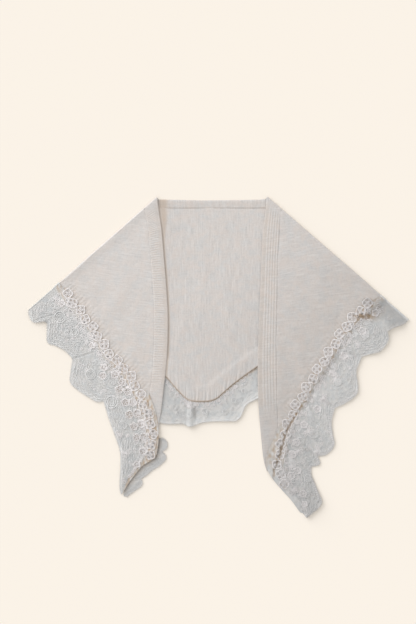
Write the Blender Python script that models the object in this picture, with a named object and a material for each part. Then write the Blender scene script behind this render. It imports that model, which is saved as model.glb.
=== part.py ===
"""A knit triangle scarf with a ribbed band and a scalloped lace border.

It lies flat on a surface with both ends folded forward over the back, on
diagonals that start at the shoulders. Each stretch of cloth is a wall: rows of
points in plan, worked out from short tables, with an underside and a top.
All tables are in millimetres, seen from above: x to the right, y up the page.
"""

import math
from collections import namedtuple

import bmesh
import bpy
from mathutils import Matrix, Vector

MM = 0.001

# Driving dimensions
SCARF_NAME = "triangle_scarf"
BOX_MIDDLE = (2.15, 2.63)
KNIT_THICK = 1.6
LACE_THICK = 1.2
SEAM_GAP = 0.3
LACE_SEAT = 0.35
LACE_LAP = 26.0
BACK_KNIT_RAISE = 1.5
FRONT_LIFT = 3.5
FRONT_SETTLES = (0.0, 90.0)
EDGE_SETTLES = (-15.0, 35.0)
BACK_KNIT_SETTLES = (32.0, 46.0)
FOLD_SHIFT = 3.5
FOLD_LOFT = 2.0
FOLD_LOFT_WIDTH = 18.0
FOLD_LEG = 6.0
FOLD_ARC_STEPS = 5
TURNED_UNDER_LIFT = 1.5
TURNED_UNDER_BELOW = (-105.0, -180.0)
CREASE_FADES = (0.5, 3.0)
RIB_HEIGHT = 0.4
RIBS_START = (8.0, 24.0)
RIBS_END_OVER = 30.0
CROSS_RIB_PITCH = 6.0
LENGTH_RIB_COUNT = 5
GATHER_COUNT = 26
GATHER_HEIGHT = 0.8
TUCK_HEIGHT = 3.6
FLOWER_STEP = 26.0
PETAL_GAPS = 4
PETAL_RADIUS = 6.8
PETAL_SIZE = (7.6, 5.6)
LEAF_SIZE = (10.0, 5.6)
GROUND_SIZE = (12.0, 6.4)
GAP_BAR = 1.0
CUTTER_DEPTH = 24.0

FRONT_SIDE = namedtuple(
    "FRONT_SIDE",
    "name shoulder seam band_tip front rows tail edge creases rib_end tip_end knit_end lace_end",
)

# Seam between knit and band: y, x
LEFT_SEAM = [
    (376, -184), (330, -176), (270, -170), (195, -164), (125, -160), (70, -160),
    (15, -161), (-42, -165), (-85, -171), (-122, -178),
]
RIGHT_SEAM = [
    (374, 158), (320, 154), (245, 150), (145, 148), (20, 146), (-105, 148),
    (-180, 150), (-250, 151),
]

# Where each band's own short hem ends, below its seam: y, x
LEFT_BAND_TIP = (-183, -152)
RIGHT_BAND_TIP = (-280, 125)

# Front edge of the band: station along it, x, y, and the seam's y beside it
LEFT_FRONT = [
    (0.00, -152, 404, 376), (0.06, -147, 364, 345), (0.14, -141, 325, 315),
    (0.26, -135, 255, 250), (0.38, -129, 182, 182), (0.50, -125, 115, 116),
    (0.60, -125, 55, 57), (0.70, -128, -5, -4), (0.80, -134, -66, -65),
    (0.90, -141, -128, -122), (0.96, -146, -158, -150), (1.00, -149, -184, -183),
]
RIGHT_FRONT = [
    (0.00, 122, 405, 374), (0.06, 118, 365, 348), (0.14, 112, 315, 306),
    (0.26, 108, 225, 222), (0.38, 104, 130, 130), (0.50, 100, 35, 35),
    (0.62, 99, -40, -40), (0.74, 101, -115, -115), (0.84, 106, -180, -180),
    (0.92, 112, -240, -240), (0.96, 116, -264, -258), (1.00, 122, -282, -280),
]

# Cloth rows of each front, parallel to its fold: row, seam y, hem x, hem y
LEFT_ROWS = [
    (0, 376, -402, 185), (2, 335, -385, 160), (4, 295, -368, 136),
    (6, 260, -342, 105), (8, 202, -315, 68), (10, 142, -290, 28),
    (12, 92, -265, -4), (14, 42, -240, -28), (16, -10, -218, -59),
    (18, -68, -200, -95), (20, -119, -187, -128),
]
RIGHT_ROWS = [
    (0, 374, 412, 154), (3, 310, 368, 122), (5, 255, 338, 92), (7, 205, 315, 62),
    (9, 150, 292, 25), (11, 92, 268, -12), (13, 31, 242, -52), (15, -32, 218, -94),
    (17, -92, 195, -132), (19, -155, 176, -178), (20, -190, 170, -202),
    (21, -218, 165, -226), (22, -244, 161, -247),
]

# Lace past the knit: row, flower edge x, y, middle x, y
LEFT_TAIL = [
    (16, -198, -41, -218, -59), (18, -178, -78, -200, -95), (20, -162, -115, -186, -130),
    (21, -155, -138, -178, -150), (22, -150, -165, -171, -172), (23, -148, -190, -169, -198),
    (24, -150, -220, -171, -225), (25, -156, -246, -180, -248), (26, -170, -258, -191, -262),
    (27, -188, -269, -204, -278), (28, -208, -292, -218, -298), (29, -225, -315, -229, -318),
    (30, -234, -331, -236, -334),
]
RIGHT_TAIL = [
    (17, 177, -121, 195, -132), (18, 169, -140, 185, -155), (19, 158, -162, 176, -178),
    (20, 145, -190, 170, -202), (21, 130, -220, 165, -228), (22, 120, -248, 161, -252),
    (23, 123, -278, 160, -278), (24, 138, -304, 168, -303), (25, 160, -330, 185, -330),
    (26, 185, -358, 201, -358), (27, 205, -386, 212, -388),
]

# Scalloped edge of the lace, a point for each row: x, y
LEFT_EDGE = [
    (-471, 125), (-472, 110), (-462, 91), (-442, 92), (-425, 95), (-426, 68),
    (-425, 40), (-405, 32), (-385, 22), (-372, 10), (-362, -2), (-366, -30),
    (-368, -60), (-348, -80), (-325, -95), (-302, -108), (-285, -105), (-278, -130),
    (-270, -155), (-260, -182), (-250, -210), (-245, -226), (-242, -242), (-242, -260),
    (-242, -278), (-243, -292), (-244, -305), (-244, -315), (-244, -324), (-243, -332),
    (-240, -340),
]
RIGHT_EDGE = [
    (475, 94), (460, 85), (440, 78), (421, 68), (424, 45), (405, 19), (382, 12),
    (358, 5), (344, -32), (348, -65), (345, -90), (320, -110), (290, -124), (282, -158),
    (285, -190), (289, -218), (270, -240), (246, -243), (253, -264), (232, -270),
    (231, -290), (238, -308), (245, -325), (252, -342), (258, -360), (248, -375),
    (232, -388), (220, -398),
]

# Main creases: x, y, half length, half width, turn in degrees, height
LEFT_CREASES = [
    (-345, 210, 55, 16, 40, -1.0), (-250, 150, 60, 22, 62, 1.2), (-215, 20, 70, 18, 80, 1.0),
    (-235, 255, 50, 16, 15, 0.9),
]
RIGHT_CREASES = [
    (330, 165, 60, 15, 118, 1.2), (262, 125, 70, 20, 108, 0.9), (205, -10, 80, 16, 100, 1.1),
    (235, 240, 55, 18, 150, 1.0),
]
BACK_CREASES = [
    (-40, 180, 120, 16, 86, 0.8), (25, 120, 110, 14, 95, 0.7), (-95, 60, 80, 14, 75, 0.7),
]

# Back: station, hem x, hem y, lace edge x, lace edge y
BACK_HEM = [
    (1, -365, 148, -432, 90), (2, -332, 122, -395, 60), (3, -300, 96, -350, 20),
    (4, -265, 68, -302, -25), (5, -230, 38, -258, -68), (6, -195, 8, -212, -110),
    (7, -162, -20, -178, -140), (8, -130, -47, -152, -158), (9, -110, -70, -130, -163),
    (10, -92, -90, -105, -163), (11, -80, -101, -86, -163), (12, -70, -107, -74, -170),
    (13, -62, -108, -62, -168), (14, -45, -109, -45, -161), (15, -22, -108, -18, -157),
    (16, -5, -102, 15, -156), (17, 10, -90, 45, -156), (18, 30, -72, 56, -145),
    (19, 50, -56, 70, -116), (20, 75, -38, 98, -100), (21, 110, -14, 142, -78),
    (22, 155, 11, 198, -48), (23, 205, 38, 250, -15), (24, 255, 66, 305, 16),
    (25, 318, 100, 370, 54), (26, 368, 128, 425, 72),
]
BACK_LAST = 27
NECK_SEAM = 374.0
BACK_SHOWS = (8, 20)
BACK_TOP = [(0.1, -132, 396), (0.3, -82, 395), (0.45, -32, 394), (0.7, 42, 395), (0.9, 100, 396)]

# End turned under at the left tip: y, left x, right x
TURNED_UNDER = [
    (-200, -236, -141), (-208, -237, -130), (-218, -237, -128), (-226, -237, -130),
    (-234, -236, -142), (-241, -236, -134), (-251, -236, -131), (-260, -236, -138),
    (-270, -236, -150), (-280, -236, -166), (-292, -236, -180), (-302, -236, -194),
    (-310, -236, -190), (-320, -236, -194), (-330, -236, -208), (-340, -236, -222),
    (-346, -235, -229),
]

NEXT_ROW = 0.5
FROM_HEM = (0.0, LACE_LAP, 33.0, 46.0)
PAST_HEM = (4.0, 20.0)
SECTION_SPAN = 100.0
KNIT_COLUMNS_BEYOND = 5
EDGE_TURN = 5.0


def smooth(table):
    """A soft curve through rows of (key, value, ...): returns a function of key."""
    rows = sorted(table)
    keys = [row[0] for row in rows]
    values = [row[1:] for row in rows]
    last = len(rows) - 1

    def slope(i, column):
        before, after = max(i - 1, 0), min(i + 1, last)
        rise = values[after][column] - values[before][column]
        return rise / (keys[after] - keys[before])

    def at(key):
        key = min(max(key, keys[0]), keys[-1])
        i = max(j for j in range(last) if keys[j] <= key)
        span = keys[i + 1] - keys[i]
        t = (key - keys[i]) / span
        out = []
        for column in range(len(values[0])):
            a, b = values[i][column], values[i + 1][column]
            sa, sb = slope(i, column) * span, slope(i + 1, column) * span
            out.append(
                a * (1 + 2 * t) * (1 - t) ** 2 + sa * t * (1 - t) ** 2
                + b * t * t * (3 - 2 * t) + sb * t * t * (t - 1)
            )
        return out[0] if len(out) == 1 else Vector(out)

    return at


def straight(points):
    """Straight steps through points, one for each whole number."""

    def at(key):
        i = min(max(int(key), 0), len(points) - 2)
        return Vector(points[i]).lerp(Vector(points[i + 1]), key - i)

    return at


def ramp(value, start, end):
    """0 before start, 1 after end, soft between."""
    t = min(max((value - start) / (end - start), 0.0), 1.0)
    return t * t * (3 - 2 * t)


def crease_height(creases, x, y):
    """Height of all the soft creases at a point."""
    total = 0.0
    for cx, cy, half_length, half_width, turn, height in creases:
        c, s = math.cos(math.radians(turn)), math.sin(math.radians(turn))
        along = ((x - cx) * c + (y - cy) * s) / half_length
        across = (-(x - cx) * s + (y - cy) * c) / half_width
        total += height * math.exp(-along * along - across * across)
    return total


def distance_to(line, point):
    """Shortest distance from a point to a line of points."""
    best = math.inf
    for a, b in zip(line, line[1:]):
        step = b - a
        t = min(max((point - a).dot(step) / step.length_squared, 0.0), 1.0)
        best = min(best, (point - a - step * t).length)
    return best


BACK_LOWER = (
    [Vector((-472, 123))] + [Vector(row[3:]) for row in BACK_HEM] + [Vector((477, 94))]
)


def past_back(x, y):
    """How far a point lies past the back's lower edge."""
    slant = 0.8
    for a, b in zip(BACK_LOWER, BACK_LOWER[1:]):
        if x <= b.x or b is BACK_LOWER[-1]:
            share = min(max((x - a.x) / (b.x - a.x), 0.0), 1.0)
            return (a.lerp(b, share).y - y) * slant


class Front:
    """One front: its fold, its rows and how high its cloth lies."""

    def __init__(self, side):
        self.side = side
        self.seam_x = smooth(side.seam)
        self.rows = smooth(side.rows)
        self.front = smooth(side.front)
        self.tail = smooth(side.tail)
        self.edge = straight(side.edge)
        self.shoulder = Vector(side.shoulder)
        self.corner = Vector(side.rows[0][2:])
        self.along = (self.corner - self.shoulder).normalized()
        self.inward = Vector((-self.along.y, self.along.x))
        if self.inward.y > 0:
            self.inward.negate()

    def from_fold(self, point):
        return max((point - self.shoulder).dot(self.inward), 0.0)

    def fold_row(self, first, following):
        """The fold's own row, just inside the outline, so that its bend fits."""
        row = []
        for start, towards in zip(first, following):
            before = (start - self.shoulder).dot(self.inward)
            after = (towards - self.shoulder).dot(self.inward)
            row.append(start.lerp(towards, (FOLD_SHIFT - before) / (after - before)))
        return row

    def band_inside(self, y):
        """The band's inner side: the seam, then its own short hem."""
        end_y = self.side.seam[-1][0]
        if y >= end_y:
            return self.seam_x(y)
        tip_y, tip_x = self.side.band_tip
        return self.seam_x(end_y) + (tip_x - self.seam_x(end_y)) * (end_y - y) / (end_y - tip_y)

    def base(self, point):
        """Underside of the knit of this front."""
        x, y = point
        lift = FRONT_LIFT * (1 - ramp(past_back(x, y), *FRONT_SETTLES))
        lift = max(lift, self.turned_under(point))
        loft = FOLD_LOFT * math.exp(-((self.from_fold(point) / FOLD_LOFT_WIDTH) ** 2))
        return lift + loft + crease_height(self.side.creases, x, y) * ramp(lift, *CREASE_FADES)

    def turned_under(self, point):
        """Room for the end of the lace that is turned under at the left tip."""
        if self.side.name != "left":
            return 0.0
        return TURNED_UNDER_LIFT * ramp(point.y, *TURNED_UNDER_BELOW)

    def edge_base(self, point):
        """Underside of the lace past the knit, which settles sooner."""
        x, y = point
        lift = FRONT_LIFT * (1 - ramp(past_back(x, y), *EDGE_SETTLES))
        loft = FOLD_LOFT * math.exp(-((self.from_fold(point) / FOLD_LOFT_WIDTH) ** 2))
        return max(lift, self.turned_under(point)) + loft * 0.5

    def hem(self, row):
        values = self.rows(row)
        return Vector((values[1], values[2]))

    def seam(self, row):
        y = self.rows(row)[0]
        return Vector((self.seam_x(y), y))

    def knit_row(self, row):
        """Plan points of one row, from the seam to the hem."""
        hem, seam = self.hem(row), self.seam(row)
        length = (seam - hem).length - SEAM_GAP
        toward = (seam - hem).normalized()
        part = min(1.0, length / SECTION_SPAN)
        distances = [d * part for d in FROM_HEM]
        first = distances[-1]
        for i in range(1, KNIT_COLUMNS_BEYOND + 1):
            distances.append(first + (length - first) * i / KNIT_COLUMNS_BEYOND)
        return [hem + toward * d for d in reversed(distances)]

    def lace_row(self, row):
        """Plan points of one lace row, from the flower edge to the scallop, with
        how much each lies over the knit and how much it settles at the edge."""
        starts = self.side.tail[0][0]
        if row <= starts:
            hem = self.hem(row)
            inner = hem + (self.seam(row) - hem).normalized() * LACE_LAP
        else:
            inner_x, inner_y, hem_x, hem_y = self.tail(row)
            inner, hem = Vector((inner_x, inner_y)), Vector((hem_x, hem_y))
        edge = self.edge(row)
        width = (edge - hem).length
        outward = (edge - hem).normalized()
        part = min(1.0, width / SECTION_SPAN * 1.6)
        over = 1 - ramp(row, self.side.tip_end, self.side.tip_end + 1.5)
        points = [(inner, over, 0.0), (hem, over, 0.0)]
        for d in PAST_HEM:
            points.append((hem + outward * d * part, over, ramp(d, PAST_HEM[0], PAST_HEM[-1])))
        turn = min(EDGE_TURN, width * 0.2)
        middle = 0.5 * (PAST_HEM[-1] * part + width - turn)
        points.append((hem + outward * middle, over, 1.0))
        points.append((hem + outward * (width - turn), over, 1.0))
        points.append((edge, over, 2.0))
        return points

    def lace_under(self, point, over, settled):
        """Underside of the lace: over the knit, then down to what lies below."""
        on_knit = self.base(point) + over * (KNIT_THICK + LACE_SEAT)
        low = self.edge_base(point)
        if settled > 1.0:
            low = max(0.0, low - self.turned_under(point))
            settled = 1.0
        return on_knit * (1 - settled) + low * settled


LEFT = Front(FRONT_SIDE(
    "left", (-152, 404), LEFT_SEAM, LEFT_BAND_TIP, LEFT_FRONT, LEFT_ROWS, LEFT_TAIL, LEFT_EDGE,
    LEFT_CREASES, rib_end=-92, tip_end=24.0, knit_end=20, lace_end=30,
))
RIGHT = Front(FRONT_SIDE(
    "right", (122, 405), RIGHT_SEAM, RIGHT_BAND_TIP, RIGHT_FRONT, RIGHT_ROWS, RIGHT_TAIL, RIGHT_EDGE,
    RIGHT_CREASES, rib_end=-140, tip_end=23.5, knit_end=22, lace_end=27,
))


def back_inner_line(front, along):
    """A point on the line where the back meets the fold's lower leg."""
    reach = FOLD_SHIFT + FOLD_LEG + SEAM_GAP
    return front.shoulder + front.along * along + front.inward * reach


def back_corner(front, y):
    """Where that line crosses a given height."""
    start = back_inner_line(front, 0.0)
    return back_inner_line(front, (y - start.y) / front.along.y)


def lace_fold_row(front):
    first, following = front.lace_row(0), front.lace_row(NEXT_ROW)
    return front.fold_row([e[0] for e in first], [e[0] for e in following])


def back_end_points(front):
    """Flower edge, hem and lace edge of the back beside a fold."""
    reach = front.inward * (FOLD_LEG + SEAM_GAP)
    row = lace_fold_row(front)
    return row[0] + reach, row[1] + reach, row[-1] + reach


def back_stations():
    """Hem and lace edge of the whole back, with its ends beside the folds."""
    _, left_hem, left_edge = back_end_points(LEFT)
    _, right_hem, right_edge = back_end_points(RIGHT)
    return (
        [(0, *left_hem, *left_edge)] + BACK_HEM + [(BACK_LAST, *right_hem, *right_edge)]
    )


back_station = smooth(back_stations())
back_edge = straight([row[3:] for row in back_stations()])


def back_hem(station):
    values = back_station(station)
    return Vector((values[0], values[1]))


BACK_HEM_LINE = [back_hem(i * 0.5) for i in range(2 * BACK_LAST + 1)]


def back_raise(point):
    """The back knit climbs onto the lace that lies under its hem."""
    return BACK_KNIT_RAISE * (1 - ramp(distance_to(BACK_HEM_LINE, point), *BACK_KNIT_SETTLES))


def shares_along(row):
    """How far along its row each point lies, from 0 to 1."""
    reached = [0.0]
    for a, b in zip(row, row[1:]):
        reached.append(reached[-1] + (b.co - a.co).length)
    return [value / reached[-1] for value in reached]


def zip_rows(bm, first, second):
    """Join two rows of points, which may differ in number, with faces."""
    if len(first) == len(second):
        for i in range(len(first) - 1):
            bm.faces.new((first[i], first[i + 1], second[i + 1]))
            bm.faces.new((first[i], second[i + 1], second[i]))
        return
    along_first, along_second = shares_along(first), shares_along(second)
    i = j = 0
    while i < len(first) - 1 or j < len(second) - 1:
        second_done = j == len(second) - 1
        if second_done or (i < len(first) - 1 and along_first[i + 1] <= along_second[j + 1]):
            bm.faces.new((first[i], first[i + 1], second[j]))
            i += 1
        else:
            bm.faces.new((first[i], second[j + 1], second[j]))
            j += 1


def to_world(point):
    x, y, z = point
    return Vector(((x - BOX_MIDDLE[0]) * MM, (y - BOX_MIDDLE[1]) * MM, z * MM))


def add_rows(bm, rows):
    """Make the points of a sheet and join its rows."""
    made = [[bm.verts.new(to_world(point)) for point in row] for row in rows]
    for first, second in zip(made, made[1:]):
        zip_rows(bm, first, second)
    return made


def wall(name, material, under, top, matched=1):
    """A closed wall of cloth between an underside and a top, each a list of rows.

    The first matched rows of both are joined one to one along the sides."""
    bm = bmesh.new()
    low = add_rows(bm, under)
    high = add_rows(bm, top)
    zip_rows(bm, low[0], high[0])
    zip_rows(bm, low[-1], high[-1])
    for side in (0, -1):
        low_side, high_side = [row[side] for row in low], [row[side] for row in high]
        zip_rows(bm, low_side[:matched], high_side[:matched])
        zip_rows(bm, low_side[matched - 1:], high_side[matched - 1:])
    bmesh.ops.recalc_face_normals(bm, faces=bm.faces)
    mesh = bpy.data.meshes.new(name)
    bm.to_mesh(mesh)
    bm.free()
    if mesh_volume(mesh) < 0:
        mesh.flip_normals()
    mesh.shade_smooth()
    mesh.set_sharp_from_angle(angle=math.radians(40))
    mesh.materials.append(material)
    piece = bpy.data.objects.new(name, mesh)
    scarf.objects.link(piece)
    return piece


def mesh_volume(mesh):
    mesh.calc_loop_triangles()
    total = 0.0
    for triangle in mesh.loop_triangles:
        a, b, c = (mesh.vertices[i].co for i in triangle.vertices)
        total += a.dot(b.cross(c)) / 6
    return total


def fold_rows(front, plan, lower_top, upper_under, thick):
    """Rows of the rounded fold, from its lower leg up to the row above it.

    plan holds the fold's own row; lower_top and upper_under are the heights
    that the bend's inside joins at each of its points."""
    under, top = [], []
    leg = [point + front.inward * FOLD_LEG for point in plan]
    under.append([(*p, z) for p, z in zip(leg, lower_top)])
    top.append([(*p, z - thick) for p, z in zip(leg, lower_top)])
    for step in range(FOLD_ARC_STEPS + 1):
        angle = math.pi * (step / FOLD_ARC_STEPS - 0.5)
        inner_row, outer_row = [], []
        for point, low, high in zip(plan, lower_top, upper_under):
            centre, radius = (low + high) / 2, (high - low) / 2
            for r, row in ((radius, inner_row), (radius + thick, outer_row)):
                place = point - front.inward * (r * math.cos(angle))
                row.append((*place, centre + r * math.sin(angle)))
        under.append(inner_row)
        top.append(outer_row)
    return under, top


def row_numbers(last):
    """Rows lie closer beside the fold, where the cloth rounds over."""
    return [NEXT_ROW, 1.0, 1.5, 2.0] + [float(i) for i in range(3, last + 1)]


def front_knit(front, material):
    plan = front.fold_row(front.knit_row(0), front.knit_row(NEXT_ROW))
    lower = [back_raise(p + front.inward * FOLD_LEG) + KNIT_THICK for p in plan]
    upper = [front.base(p) for p in plan]
    under, top = fold_rows(front, plan, lower, upper, KNIT_THICK)
    for row in row_numbers(front.side.knit_end):
        points = front.knit_row(row)
        under.append([(*p, front.base(p)) for p in points])
        top.append([(*p, front.base(p) + KNIT_THICK) for p in points])
    return wall(front.side.name + "_front", material, under, top)


def front_lace(front, material):
    plan = lace_fold_row(front)
    lower = [LACE_THICK] * len(plan)
    upper = []
    for point, (_, over, settled) in zip(plan, front.lace_row(0)):
        upper.append(max(front.lace_under(point, over, settled), LACE_THICK + 0.8))
    under, top = fold_rows(front, plan, lower, upper, LACE_THICK)
    for row in row_numbers(front.side.lace_end):
        entries = front.lace_row(row)
        heights = [front.lace_under(*entry) for entry in entries]
        under.append([(*e[0], z) for e, z in zip(entries, heights)])
        top.append([(*e[0], z + LACE_THICK) for e, z in zip(entries, heights)])
    return wall(front.side.name + "_front_lace", material, under, top)


def band_line(front, station, share):
    """A point across the band: share 0 is the front edge, 1 is the seam."""
    x, y, seam_y = front.front(station)
    seam = Vector((front.band_inside(seam_y), seam_y))
    edge = Vector((x, y))
    inside = (edge - seam).normalized() * SEAM_GAP
    return edge.lerp(seam + inside, share)


def band_length(front):
    steps = 60
    points = [band_line(front, i / steps, 0.5) for i in range(steps + 1)]
    return sum((b - a).length for a, b in zip(points, points[1:]))


def front_band(front, material, shares, stations, relief, plain_every):
    """A band with ribs raised in its top points over a plain inside."""
    ends = (shares[0], shares[-1])
    plan = front.fold_row(
        [band_line(front, 0.0, s) for s in shares],
        [band_line(front, stations[0], s) for s in shares],
    )
    upper = [front.base(p) for p in plan]
    lower = [KNIT_THICK] * len(plan)
    under, top = fold_rows(front, plan, lower, upper, KNIT_THICK)
    under = [[row[0], row[-1]] for row in under]
    for index, station in enumerate(stations):
        row = []
        for column, share in enumerate(shares):
            point = band_line(front, station, share)
            settled = ramp(front.from_fold(point), *RIBS_START)
            settled *= ramp(point.y, front.side.rib_end, front.side.rib_end + RIBS_END_OVER)
            height = KNIT_THICK + RIB_HEIGHT * relief(index, column) * settled
            row.append((*point, front.base(point) + height))
        top.append(row)
    for station in sorted(set(stations[::plain_every] + stations[-1:])):
        points = [band_line(front, station, share) for share in ends]
        under.append([(*p, front.base(p)) for p in points])
    return wall(front.side.name + "_front_band", material, under, top, FOLD_ARC_STEPS + 2)


def cross_ribbed_band(front, material):
    """Short ribs across the band, as on the left front."""
    start = 0.025
    plain_every = 7
    count = round(band_length(front) * (1 - start) / (CROSS_RIB_PITCH / 2))
    count = count // plain_every * plain_every + 1
    stations = [start + (1 - start) * i / count for i in range(count + 1)]
    shares = (0.0, 0.28, 1.0)

    def relief(index, column):
        return float(column > 0 and index % 2 == 1)

    return front_band(front, material, shares, stations, relief, plain_every)


def length_ribbed_band(front, material):
    """Ribs along the band, as on the right front."""
    start, rows = 0.06, 25
    stations = [0.02, 0.035] + [start + (1 - start) * i / rows for i in range(rows)]
    stations.append(1.0)
    edge_share = 0.22
    ribs = 2 * LENGTH_RIB_COUNT
    shares = [0.0] + [edge_share + (1 - edge_share) * i / ribs for i in range(ribs + 1)]

    def relief(index, column):
        return float(column > 0 and column % 2 == 0)

    return front_band(front, material, shares, stations, relief, 1)


def neck_band(material):
    """The band's stretch behind the neck, between the two folds."""
    y = NECK_SEAM + SEAM_GAP / 2
    left_low, right_low = back_corner(LEFT, y), back_corner(RIGHT, y)
    left_top, right_top = back_inner_line(LEFT, 0.0), back_inner_line(RIGHT, 0.0)
    upper_edge = smooth([(0.0, *left_top)] + BACK_TOP + [(1.0, *right_top)])
    under, top = [], []
    columns = 16
    for i in range(columns + 1):
        share = i / columns
        high, low = upper_edge(share), left_low.lerp(right_low, share)
        points = [high, high.lerp(low, 0.25), high.lerp(low, 0.85), low]
        under.append([(*p, 0.0) for p in (high, low)])
        top.append([(*p, KNIT_THICK + z) for p, z in zip(points, (-0.3, 0.2, 0.2, -0.2))])
    return wall("back_neck_band", material, under, top)


def back_upper(station):
    """Upper end of each line of the back: along a fold, the neck seam, a fold."""
    y = NECK_SEAM - SEAM_GAP / 2
    short = 12.0
    left_along = (LEFT.corner - LEFT.shoulder).length - short
    right_along = (RIGHT.corner - RIGHT.shoulder).length - short
    stops = [
        (0.0, back_inner_line(LEFT, left_along)), (6.5, back_corner(LEFT, y)),
        (20.5, back_corner(RIGHT, y)), (float(BACK_LAST), back_inner_line(RIGHT, right_along)),
    ]
    for (a, start), (b, end) in zip(stops, stops[1:]):
        if station <= b:
            return start.lerp(end, (station - a) / (b - a))
    return stops[-1][1]


def back_knit_point(station, index, rows_beyond):
    """Plan point of the back: index counts from the hem upwards."""
    hem, upper = back_hem(station), back_upper(station)
    length = (upper - hem).length
    part = min(1.0, length / SECTION_SPAN)
    if index < len(FROM_HEM):
        distance = FROM_HEM[index] * part
    else:
        first = FROM_HEM[-1] * part
        distance = first + (length - first) * (index - len(FROM_HEM) + 1) / rows_beyond
    return hem + (upper - hem).normalized() * distance


def back_knit(material):
    """The back, wrong side up, gathered where its hem shows."""
    rows_beyond = 8
    first, last = BACK_SHOWS
    coarse = [0.0, 6.5, 20.5, 0.5, 26.5] + [float(i) for i in range(1, BACK_LAST + 1)]
    coarse = sorted(set(coarse))
    step = (last - first) / (2 * GATHER_COUNT)
    gathered = [first + step * i for i in range(2 * GATHER_COUNT + 1)]
    fine = [s for s in coarse if s < first] + gathered + [s for s in coarse if s > last]
    depth_share = (1.0, 0.6, 0.3, 0.0)
    under, top = [], []
    for index in range(len(FROM_HEM) + rows_beyond):
        under.append([])
        for station in fine if index == 0 else coarse:
            point = back_knit_point(station, index, rows_beyond)
            under[-1].append((*point, back_raise(point)))
        in_hem = index < len(FROM_HEM)
        top.append([])
        for station in fine if in_hem else coarse:
            point = back_knit_point(station, index, rows_beyond)
            height = back_raise(point) + KNIT_THICK + crease_height(BACK_CREASES, *point)
            if in_hem and first < station < last:
                crest = round((station - first) / step) % 2
                height += GATHER_HEIGHT * depth_share[index] * (crest - 0.5)
            top[-1].append((*point, height))
    return wall("back_panel", material, under, top)


def back_lace(material):
    """The lace under the back's hem, with a small pinched tuck."""
    tuck_rows = [11.4, 11.8, 12.2, 12.6, 13.0, 13.4]
    tuck_share = {11.8: 0.65, 12.2: 1.0, 12.6: 0.9, 13.0: 0.4}
    stations = [0.0, 0.5] + [float(i) for i in range(1, BACK_LAST)] + tuck_rows
    stations = sorted(set(stations)) + [BACK_LAST - 0.5, float(BACK_LAST)]
    stations = sorted(set(stations))
    past = (5.0, 14.0)
    tuck_column = (0.0, 0.0, 0.4, 0.8, 1.0, 1.0)
    under, top = [], []
    for station in stations:
        hem, edge = back_hem(station), back_edge(station)
        inner = hem + (hem - edge).normalized() * LACE_LAP
        if station in (0.0, float(BACK_LAST)):
            inner = back_end_points(LEFT if station == 0.0 else RIGHT)[0]
        outward = (edge - hem).normalized()
        points = [inner, hem] + [hem + outward * d for d in past]
        points += [points[-1].lerp(edge, 0.55), edge]
        lift = TUCK_HEIGHT * tuck_share.get(station, 0.0)
        heights = [lift * share for share in tuck_column]
        under.append([(*p, z) for p, z in zip(points, heights)])
        top.append([(*p, z + LACE_THICK) for p, z in zip(points, heights)])
    return wall("back_lace", material, under, top)


def turned_under_lace(material):
    """The end of the lace that is turned under at the left tip."""
    under, top = [], []
    for y, left, right in TURNED_UNDER:
        points = [(left + (right - left) * share, y) for share in (0.0, 0.35, 0.7, 1.0)]
        under.append([(*p, 0.0) for p in points])
        top.append([(*p, LACE_THICK) for p in points])
    return wall("left_tip_lace", material, under, top)


def even_steps(line, step):
    """Places, and the way ahead, at even steps along a line of points."""
    places, travelled, wanted = [], 0.0, step / 2
    for a, b in zip(line, line[1:]):
        length = (b - a).length
        while travelled + length > wanted:
            places.append((a.lerp(b, (wanted - travelled) / length), (b - a).normalized()))
            wanted += step
        travelled += length
    return places


def spine(place, ahead, size):
    """Three points along a gap, which show how near another gap comes."""
    half = ahead * ((size[0] - size[1]) / 2)
    return (place - half, place, place + half)


def is_clear(cut, place, ahead, size):
    """Whether a bar of lace stays between this gap and those already cut."""
    for other, other_width in cut:
        room = (size[1] + other_width) / 2 + GAP_BAR
        if any((a - b).length < room for a in spine(place, ahead, size) for b in other):
            return False
    return True


def add_gap(bm, cut, place, ahead, size):
    """One gap of the openwork: an upright four-sided cutter, clear of the others."""
    if not is_clear(cut, place, ahead, size):
        return
    cut.append((spine(place, ahead, size), size[1]))
    turn = Matrix.Rotation(math.atan2(ahead.y, ahead.x), 4, "Z")
    stretch = Matrix.Diagonal((size[0] * MM, size[1] * MM, CUTTER_DEPTH * MM, 1.0))
    spot = Matrix.Translation(to_world((*place, CUTTER_DEPTH * 0.25)))
    bmesh.ops.create_cone(
        bm, cap_ends=True, segments=4, radius1=0.5, radius2=0.5, depth=1.0,
        matrix=spot @ turn @ stretch,
    )


def flower_gaps(bm, line, ground_side, with_flowers=True):
    """Gaps of the flower edge: petals, leaves between flowers, and open ground."""
    cut = []
    places = even_steps(line, FLOWER_STEP)
    for number, (place, ahead) in enumerate(places):
        across = Vector((-ahead.y, ahead.x)) * ground_side
        if with_flowers:
            flower = place + across * (2.5 if number % 2 else -2.5)
            for petal in range(PETAL_GAPS):
                angle = 2 * math.pi * petal / PETAL_GAPS + 0.4 * number
                out = Vector((math.cos(angle), math.sin(angle)))
                add_gap(bm, cut, flower + out * PETAL_RADIUS, out, PETAL_SIZE)
        if number + 1 < len(places):
            between = place.lerp(places[number + 1][0], 0.5)
            add_gap(bm, cut, between + across * 9.0, ahead, LEAF_SIZE)
            if with_flowers:
                add_gap(bm, cut, between + across * 19.0, ahead, GROUND_SIZE)


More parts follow.
